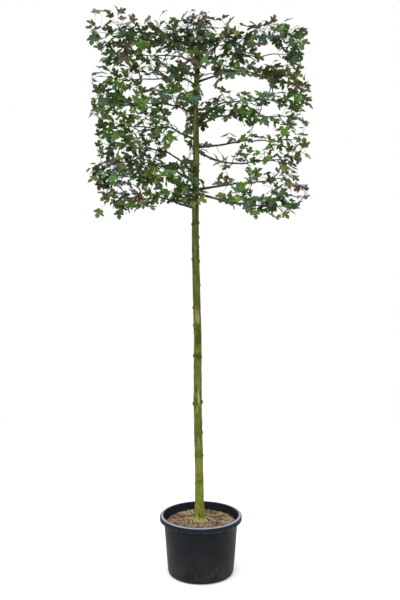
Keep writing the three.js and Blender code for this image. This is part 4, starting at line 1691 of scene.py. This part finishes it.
    def grow_trunk_shoots(self) -> None:
        """Grows short leafy shoots on the trunk between the top limbs."""
        draws = SeededDraws(self.tuft_seed + 1)
        top = self.trunk.tip - 10
        for i in range(self.trunk_shoots):
            height = between(self.trunk_shoots_from, top, i / (self.trunk_shoots - 1))
            turn = i * self.tuft_turn + draws.spread(0.4)
            direction = unit(heading(turn, draws.within(0.2, 0.8), 0.8))
            root = self.trunk.middle(height) + direction * self.trunk.tip_radius
            self.grow_short_shoot(root, direction, draws.within(60, 115), draws)

    def grow_bough_shoots(self, limb: Limb, draws: SeededDraws) -> None:
        """Grows short leafy shoots on a bough, up and down in turn."""
        count = self.bough_shoots[limb.side]
        for i in range(count):
            share = between(0.4, 0.95, (i + draws.draw()) / count) * limb.bough_share
            aside = draws.spread(0.8)
            deep = limb.face * draws.within(0, 0.8)
            direction = unit(np.array([aside, deep, 1 if i % 2 else -1]))
            root = point_on(limb.line, share)
            self.grow_short_shoot(root, direction, draws.within(45, 95), draws)

    def grow_short_shoot(self, root: np.ndarray, direction: np.ndarray, length: float,
                         draws: SeededDraws) -> None:
        """Grows one straight short shoot with its leaves."""
        tint = self.tint_for(root, draws)
        shoot = Twig(bowed(root, direction * length), length, self.short_radius, tint)
        self.clothe(shoot, self.short_node, draws)
        self.keep(shoot)

    def grow_loose_tips(self) -> None:
        """Grows thin single shoots from the nearest twigs, each with a few leaves at its tip."""
        draws = SeededDraws(self.tuft_seed + 2)
        wood = np.vstack([twig.line(np.linspace(0, twig.carried, 6)) for twig in self.twigs])
        for x, z, below, tint, leaves, size in LOOSE_TIPS:
            foot = wood[np.hypot(wood[:, 0] - x, wood[:, 2] - (z - below)).argmin()]
            way = np.array([x, foot[1], z]) - foot
            length = float(np.linalg.norm(way))
            shoot = Twig(bowed(foot, way), length, self.loose_radius, tint, leafy=1.0, leaf_size=size)
            for number in range(leaves):
                self.try_leaf(shoot, 1, number * math.pi / 2, draws, True)
            self.keep(shoot)

    def build_twigs(self, finish: bpy.types.Material) -> None:
        """Joins the stems, shoots and fine twigs in one piece."""
        thick = SmallShape.tube(8, 44)
        fine = SmallShape.tube(6, 6)
        swarm = Swarm()
        for limb in self.space.all_limbs():
            grown = part_of(limb.stem, limb.bough_share, limb.leafy_to)
            swarm.add_strand(thick, grown, limb.stem_radius)
        for twig in self.twigs:
            swarm.add_strand(fine, part_of(twig.line, 0, twig.carried), twig.radius)
        join_piece(swarm.build("twigs", [finish], True))

    def build_leaves(self) -> None:
        """Joins the leaves in a piece for each side and the tuft, and their stalks in one."""
        tints = list(TINTS)
        skins = [LeafSkin(f"leaf_{t.value}", TINTS[t].top).build() for t in tints]
        skins += [LeafSkin(f"leaf_under_{t.value}", TINTS[t].under, 0.6).build() for t in tints]
        blade = LeafShape().build()
        stalk = SmallShape.tube(4, 4)
        swarms = {"left": Swarm(), "right": Swarm(), "top": Swarm()}
        stalks = Swarm()
        for leaf in self.leaves:
            offset = self.trunk.beside(leaf.root)
            kind = "left" if offset < 0 else "right"
            if leaf.root[2] > self.space.tuft_from and abs(offset) < self.space.tuft_half:
                kind = "top"
            number = tints.index(leaf.tint)
            swarms[kind].add(blade, leaf.place(blade.points), (number, number + len(tints)))
            stalks.add_strand(stalk, leaf.stalk(), tapered(*leaf.stalk_radii))
        masses = {side.name.lower(): len(limbs) for side, limbs in self.space.limbs.items()}
        for kind, swarm in swarms.items():
            nodes = ["foliage_top"]
            if kind != "top":
                nodes = [f"foliage_{kind}_{i + 1}" for i in range(masses[kind])]
            join_piece(swarm.build(f"leaves_{kind}", skins), nodes)
        finish = TwigBark("leaf_stalk", self.stalk_light, self.stalk_dark).build()
        join_piece(stalks.build("leaf_stalks", [finish], True))


@dataclass
class Pot:
    """The round nursery pot: a flared wall with a rolled lip, a hanging skirt and a rounded foot."""

    height: float = 378
    rim: float = 257
    lip_width: float = 24
    lip_thickness: float = 6
    skirt_depth: float = 30
    skirt_thickness: float = 5
    top: float = 232
    base: float = 207
    base_round: float = 24
    wall: float = 5
    facets: int = 160
    # The raised middle of the underside
    raised: float = 150
    raised_height: float = 3
    lip_round: float = 10.5
    mouth_round: float = 3.6
    skirt_round: float = 2.5
    # The soft waves of a thin moulding: height, how many go round and where they start
    waves: Table = ((1.2, 2, 0.7), (0.6, 5, 0))
    wave_radius: float = 250

    def arc(self, centre: Range, radius: float, start: float, end: float, steps: int) -> list[Range]:
        """Points of a round edge between two directions in degrees."""
        angles = np.radians(np.linspace(start, end, steps + 1))
        return [(centre[0] + radius * math.cos(a), centre[1] + radius * math.sin(a)) for a in angles]

    def inside(self, height: float) -> float:
        """The radius of the wall's inside at a height."""
        return between(self.base, self.top, height / self.height) - self.wall

    def profile(self) -> list[Range]:
        """The pot's section from the axis under the base, round the lip, to the axis inside."""
        under = self.height - self.lip_thickness
        skirt = self.height - self.skirt_depth
        inner = self.rim - self.skirt_thickness
        flat = self.base - self.base_round
        fillet = 4
        lip = self.lip_round + 0.5
        mouth = self.height - 12
        return [
            (0, self.raised_height), (self.raised, self.raised_height),
            (self.raised + 5, 0), (flat, 0),
            *self.arc((flat, self.base_round), self.base_round, -90, 0, 6),
            *((between(self.base, self.top, share), under * share) for share in (0.3, 0.6)),
            (self.top - 1, under - 20), (self.top, under - fillet),
            *self.arc((self.top + fillet, under - fillet), fillet, 180, 90, 3),
            (inner - fillet, under), (inner, under - 3), (inner, skirt + 2),
            *self.arc((self.rim - self.skirt_round, skirt + self.skirt_round), self.skirt_round, 180, 360, 6),
            (self.rim - 1.5, skirt + 8),
            *self.arc((self.rim - lip, self.height - lip), self.lip_round, 0, 90, 8),
            (self.rim - 14, self.height + 0.2),
            *self.arc((self.rim - self.lip_width + 4, self.height - self.mouth_round),
                      self.mouth_round, 80, 180, 5),
            (self.inside(mouth), mouth),
            (self.inside(self.base_round), self.base_round),
            *self.arc((flat, self.base_round), self.base_round - self.wall, -20, -90, 4),
            (0, self.wall),
        ]

    def parts_at(self, radius: float, height: float) -> dict[str, bool]:
        """Which parts of the pot, that its finish tells apart, a place belongs to."""
        below_lip = self.height - 1.6
        outside = radius > self.top + 6
        within = 9 < height < self.height - 3
        return {
            # Where the painted highlight along the top of the lip goes
            "rim": height > below_lip and radius > self.rim - 20,
            "skirt": outside and height < below_lip,
            # Where scuffs and a broken painted highlight go, along the skirt's lower edge
            "edge": outside and height < self.height - self.skirt_depth + 4,
            # Where the painted shade inside the pot goes
            "inner": within and radius < self.inside(height) + 1.5,
        }

    def build(self) -> None:
        """Spins the section, and gives the wall the small waves of a thin moulding."""
        bm = spun(self.profile(), self.facets)
        layers = {name: bm.verts.layers.float.new(name) for name in self.parts_at(0, 0)}
        for vert in bm.verts:
            height = vert.co.z / METRE
            for name, is_part in self.parts_at(vert.co.xy.length / METRE, height).items():
                vert[layers[name]] = float(is_part)
            angle = math.atan2(vert.co.y, vert.co.x)
            wave = sum(size * math.sin(count * angle + start) for size, count, start in self.waves)
            vert.co.xy *= 1 + height / self.height * wave / self.wave_radius
        piece = object_from("nursery_pot", mesh_from("nursery_pot", bm), [NurseryPlastic().build()])
        join_piece(piece, ["pot"])


class Tone(Enum):
    """The colours of what lies on the bed, in the order of their numbers."""

    TAN = srgb(168, 142, 110)
    STRAW = srgb(198, 178, 146)
    BROWN = srgb(122, 93, 68)
    DARK = srgb(74, 55, 40)
    PALE = srgb(236, 232, 220)
    ROOT = srgb(196, 188, 112)


@dataclass
class Soil:
    """The filling of the pot, with a bed of fibres, chips and pale crumbs on it."""

    pot: Pot
    trunk: Trunk
    top: float = 342
    bottom: float = 6
    edge_drop: float = 8
    off_wall: float = 0.6
    side_from: float = 24
    flat_radius: float = 70
    hill_radius: float = 150
    facets: int = 120
    courses: int = 46
    # The lumps of the bed: height, size and which slice of the noise they are
    lumps: Table = ((3.2, 38, 0), (1.6, 9, 5))
    fibres: int = 1500
    fibre_lengths: Range = (12, 48)
    chips: int = 1200
    crumbs: int = 70
    chip_lengths: Range = (6, 17)
    crumb_lengths: Range = (5, 15)
    roots: int = 130
    # The pale roots, which run out between two directions in degrees from +X
    roots_turn: Range = (150, 350)
    # The size of the bed's dark patches, and how likely pieces are dark there and elsewhere
    patch: float = 45
    dark_share: float = 0.52
    dark_in_patch: float = 0.8
    second_tone: float = 0.45
    seed: int = 41

    @property
    def edge_radius(self) -> float:
        """The bed's radius where it meets the wall."""
        return self.pot.inside(self.top - self.edge_drop) - self.off_wall

    def surface(self, radius: float) -> float:
        """The height of the bed at a distance from its middle, without its unevenness."""
        places = (self.flat_radius, self.hill_radius, self.edge_radius)
        drops = (0, self.edge_drop / 3, self.edge_drop)
        sunk = 12 * math.exp((radius - self.edge_radius) / 16)
        return self.top - float(np.interp(radius, places, drops)) - sunk

    def uneven(self, x: float, y: float) -> float:
        """The small lumps of the bed at a place."""
        return sum(
            high * noise.noise(Vector((x / size, y / size, slice_))) for high, size, slice_ in self.lumps
        )

    def build(self) -> None:
        """Makes the filling and what lies on it."""
        foot = self.pot.base - self.pot.base_round
        side = self.pot.inside(self.side_from) - self.off_wall
        section = [
            (0, self.bottom), (foot, self.bottom), (side, self.side_from),
            (self.edge_radius, self.top - 26),
            *((r, self.surface(r)) for r in np.linspace(self.edge_radius, 0, self.courses)),
        ]
        bm = spun(section, self.facets)
        for vert in bm.verts:
            x, y, z = vert.co / METRE
            if z > self.top - 24 and math.hypot(x, y) < self.edge_radius - 1:
                vert.co.z += self.uneven(x, y) * METRE
        join_piece(object_from("soil_bed", mesh_from("soil_bed", bm), [Earth().build()]), ["soil"])
        self.build_litter()

    def spot(self, draws: SeededDraws, margin: float) -> np.ndarray:
        """A place on the bed, clear of the trunk's foot and the wall."""
        low = self.trunk.foot_radius + self.trunk.flare + 4
        radius = math.sqrt(draws.within(low ** 2, (self.edge_radius - margin) ** 2))
        x, y, _z = radius * heading(draws.within(0, 2 * math.pi))
        return np.array([x, y, self.surface(radius) + self.uneven(x, y)])

    def tone_at(self, place: np.ndarray, draws: SeededDraws) -> int:
        """The number of a tone, from the pale ones or the dark ones as the bed's patches go."""
        patch = noise.noise(Vector(place / self.patch))
        dark = draws.draw() < self.dark_share + self.dark_in_patch * patch
        return (2 if dark else 0) + (1 if draws.draw() < self.second_tone else 0)

    def build_litter(self) -> None:
        """Strews fibres, roots, chips and crumbs over the bed."""
        draws = SeededDraws(self.seed)
        finishes = [
            Earth(f"mulch_{i}", tone.value, tuple(0.55 * c for c in tone.value)).build()
            for i, tone in enumerate(Tone)
        ]
        fibre = SmallShape.tube(4, 5)
        chip = SmallShape.splinter()
        swarm = Swarm()
        for _ in range(self.fibres):
            self.add_fibre(swarm, fibre, draws)
        for _ in range(self.roots):
            self.add_root(swarm, fibre, draws)
        for number in range(self.chips + self.crumbs):
            self.add_chip(swarm, chip, number >= self.chips, draws)
        join_piece(swarm.build("mulch_litter", finishes))

    def add_fibre(self, swarm: Swarm, fibre: SmallShape, draws: SeededDraws) -> None:
        """Lays one fibre on the bed, a little bent."""
        length = draws.within(*self.fibre_lengths)
        middle = self.spot(draws, length / 2 + 3)
        turn = draws.within(0, 2 * math.pi)
        run = heading(turn, draws.spread(0.32))
        bow = heading(turn + math.pi / 2) * draws.spread(0.2) * length
        bow = bow + UP * draws.within(0.5, 4)
        thick = draws.within(0.5, 1.5)
        line = bowed(middle - run * length / 2, run * length, bow)
        radius = tapered(thick, thick * 0.5)
        swarm.add_strand(fibre, line, radius, self.tone_at(middle, draws))

    def add_root(self, swarm: Swarm, fibre: SmallShape, draws: SeededDraws) -> None:
        """Lays one of the pale root fibres that leave the trunk's foot and run out over the bed."""
        turn = math.radians(draws.within(*self.roots_turn))
        out = heading(turn)
        start = self.trunk.middle(self.trunk.foot) + out * draws.within(30, 40)
        start = start + UP * draws.within(1, 10)
        length = draws.within(5, 32) * draws.within(0.3, 1)
        end = start + out * length
        end[2] = self.surface(0) + self.uneven(end[0], end[1]) + 1
        bend = heading(turn + math.pi / 2) * draws.spread(0.3) * length
        thick = draws.within(0.8, 2)
        line = bowed(start, end - start, bend + UP * 2)
        radius = tapered(thick, thick * 0.4)
        swarm.add_strand(fibre, line, radius, list(Tone).index(Tone.ROOT))

    def add_chip(self, swarm: Swarm, chip: SmallShape, pale: bool, draws: SeededDraws) -> None:
        """Lays one chip of bark, or one of the pale crumbs, on the bed."""
        size = draws.within(*(self.crumb_lengths if pale else self.chip_lengths))
        foot = self.spot(draws, size)
        turn = draws.within(0, 2 * math.pi)
        run = unit(heading(turn, draws.spread(0.5)))
        side = unit(np.cross(UP, run))
        wide = size * draws.within(0.3, 0.6)
        thick = size * draws.within(0.08, 0.22)
        kind = list(Tone).index(Tone.PALE) if pale else self.tone_at(foot, draws)
        turned = chip.points * (size, wide, thick) @ np.array([run, side, np.cross(run, side)])
        swarm.add(chip, foot + UP * thick * 0.6 + turned, (kind, kind))


@dataclass
class Studio:
    """The pale floor, the soft light and the camera."""

    floor_half: float = 3.4
    # How far the floor lies below the pot, so that the two never share a face
    floor_drop: float = 0.0004
    floor_colour: tuple[float, float, float, float] = (0.96, 0.96, 0.96, 1)
    floor_roughness: float = 0.9
    camera_height: float = 2.68
    camera_distance: float = 6.2
    camera_aside: float = -0.0054
    pitch_down: float = 8.66
    lens: float = 62.05
    sensor: float = 36.0
    farthest: float = 100
    # The light of the sky overhead, level with the eye and below, and the rises that part them
    sky_top: float = 1.7
    sky_level: float = 0.55
    sky_below: float = 0.15
    sky_rises: tuple[float, float, float] = (-0.15, 0.05, 1)
    key_strength: float = 1.3
    key_softness: float = 60
    key_turn: tuple[float, float, float] = (34, -14, 0)

    def build(self) -> None:
        """Sets the stage and takes the camera's place."""
        self.build_floor()
        self.build_light()
        camera = bpy.data.cameras.new("camera")
        camera.lens = self.lens
        camera.sensor_width = self.sensor
        camera.clip_end = self.farthest
        place = (self.camera_aside, -self.camera_distance, self.camera_height)
        bpy.context.scene.camera = self.stand(camera, place, (90 - self.pitch_down, 0, 0))
        bpy.context.scene.view_settings.view_transform = "Standard"

    def stand(self, data: bpy.types.ID, place: Sequence[float], turn: Sequence[float]) -> bpy.types.Object:
        """Stands a camera or a light in its place, with its turns in degrees."""
        made = bpy.data.objects.new(data.name, data)
        made.location = place
        made.rotation_euler = tuple(math.radians(angle) for angle in turn)
        bpy.context.scene.collection.objects.link(made)
        return made

    def build_floor(self) -> None:
        """Lays the floor."""
        bm = bmesh.new()
        bmesh.ops.create_grid(bm, x_segments=1, y_segments=1, size=self.floor_half)
        bmesh.ops.translate(bm, verts=bm.verts, vec=(0, 0, -self.floor_drop))
        book = NodeBook(bpy.data.materials.new("studio_floor"))
        pale = book.finish({"Base Color": self.floor_colour, "Roughness": self.floor_roughness})
        floor = object_from("studio_floor", mesh_from("studio_floor", bm), [pale])

    def build_light(self) -> None:
        """Lights the stage all round before a white ground, with a soft key from the upper left."""
        world = bpy.data.worlds.new("studio")
        bpy.context.scene.world = world
        book = NodeBook(world)
        way = book.node("ShaderNodeTexCoord", out="Generated")
        rise = book.node("ShaderNodeSeparateXYZ", {}, {0: way}, out="Z")
        below, level, top = self.sky_rises
        strength = (rise.ramp(below, level, self.sky_below, self.sky_level)
                    + rise.ramp(level, top, 0, self.sky_top - self.sky_level))
        light = book.node("ShaderNodeBackground", {}, {"Color": WHITE, "Strength": strength})
        ground = book.node("ShaderNodeBackground", {}, {"Color": WHITE})
        seen = book.node("ShaderNodeLightPath", out="Is Camera Ray")
        both = book.node("ShaderNodeMixShader", {}, {0: seen, 1: light, 2: ground})
        book.node("ShaderNodeOutputWorld", {}, {"Surface": both})
        key = bpy.data.lights.new("key", "SUN")
        key.energy = self.key_strength
        key.angle = math.radians(self.key_softness)
        self.stand(key, (0, 0, 0), self.key_turn)


def main() -> None:
    """Builds the stage, then the pot, the soil, the trunk, the boughs and the crown."""
    logging.basicConfig(level=logging.INFO, format="%(message)s")
    Studio().build()
    trunk = Trunk()
    pot = Pot()
    pot.build()
    Soil(pot, trunk).build()
    trunk.build(TrunkBark().build())
    space = CrownSpace(trunk)
    bough_bark = TwigBark("bark_of_boughs", srgb(84, 80, 58), srgb(48, 47, 34)).build()
    for limb in space.all_limbs():
        limb.build(bough_bark)
    crown = Crown(space)
    crown.grow()
    crown.build_twigs(TwigBark("bark_of_twigs", srgb(80, 74, 54), srgb(50, 46, 36)).build())
    crown.build_leaves()


if __name__ == "__main__":
    main()
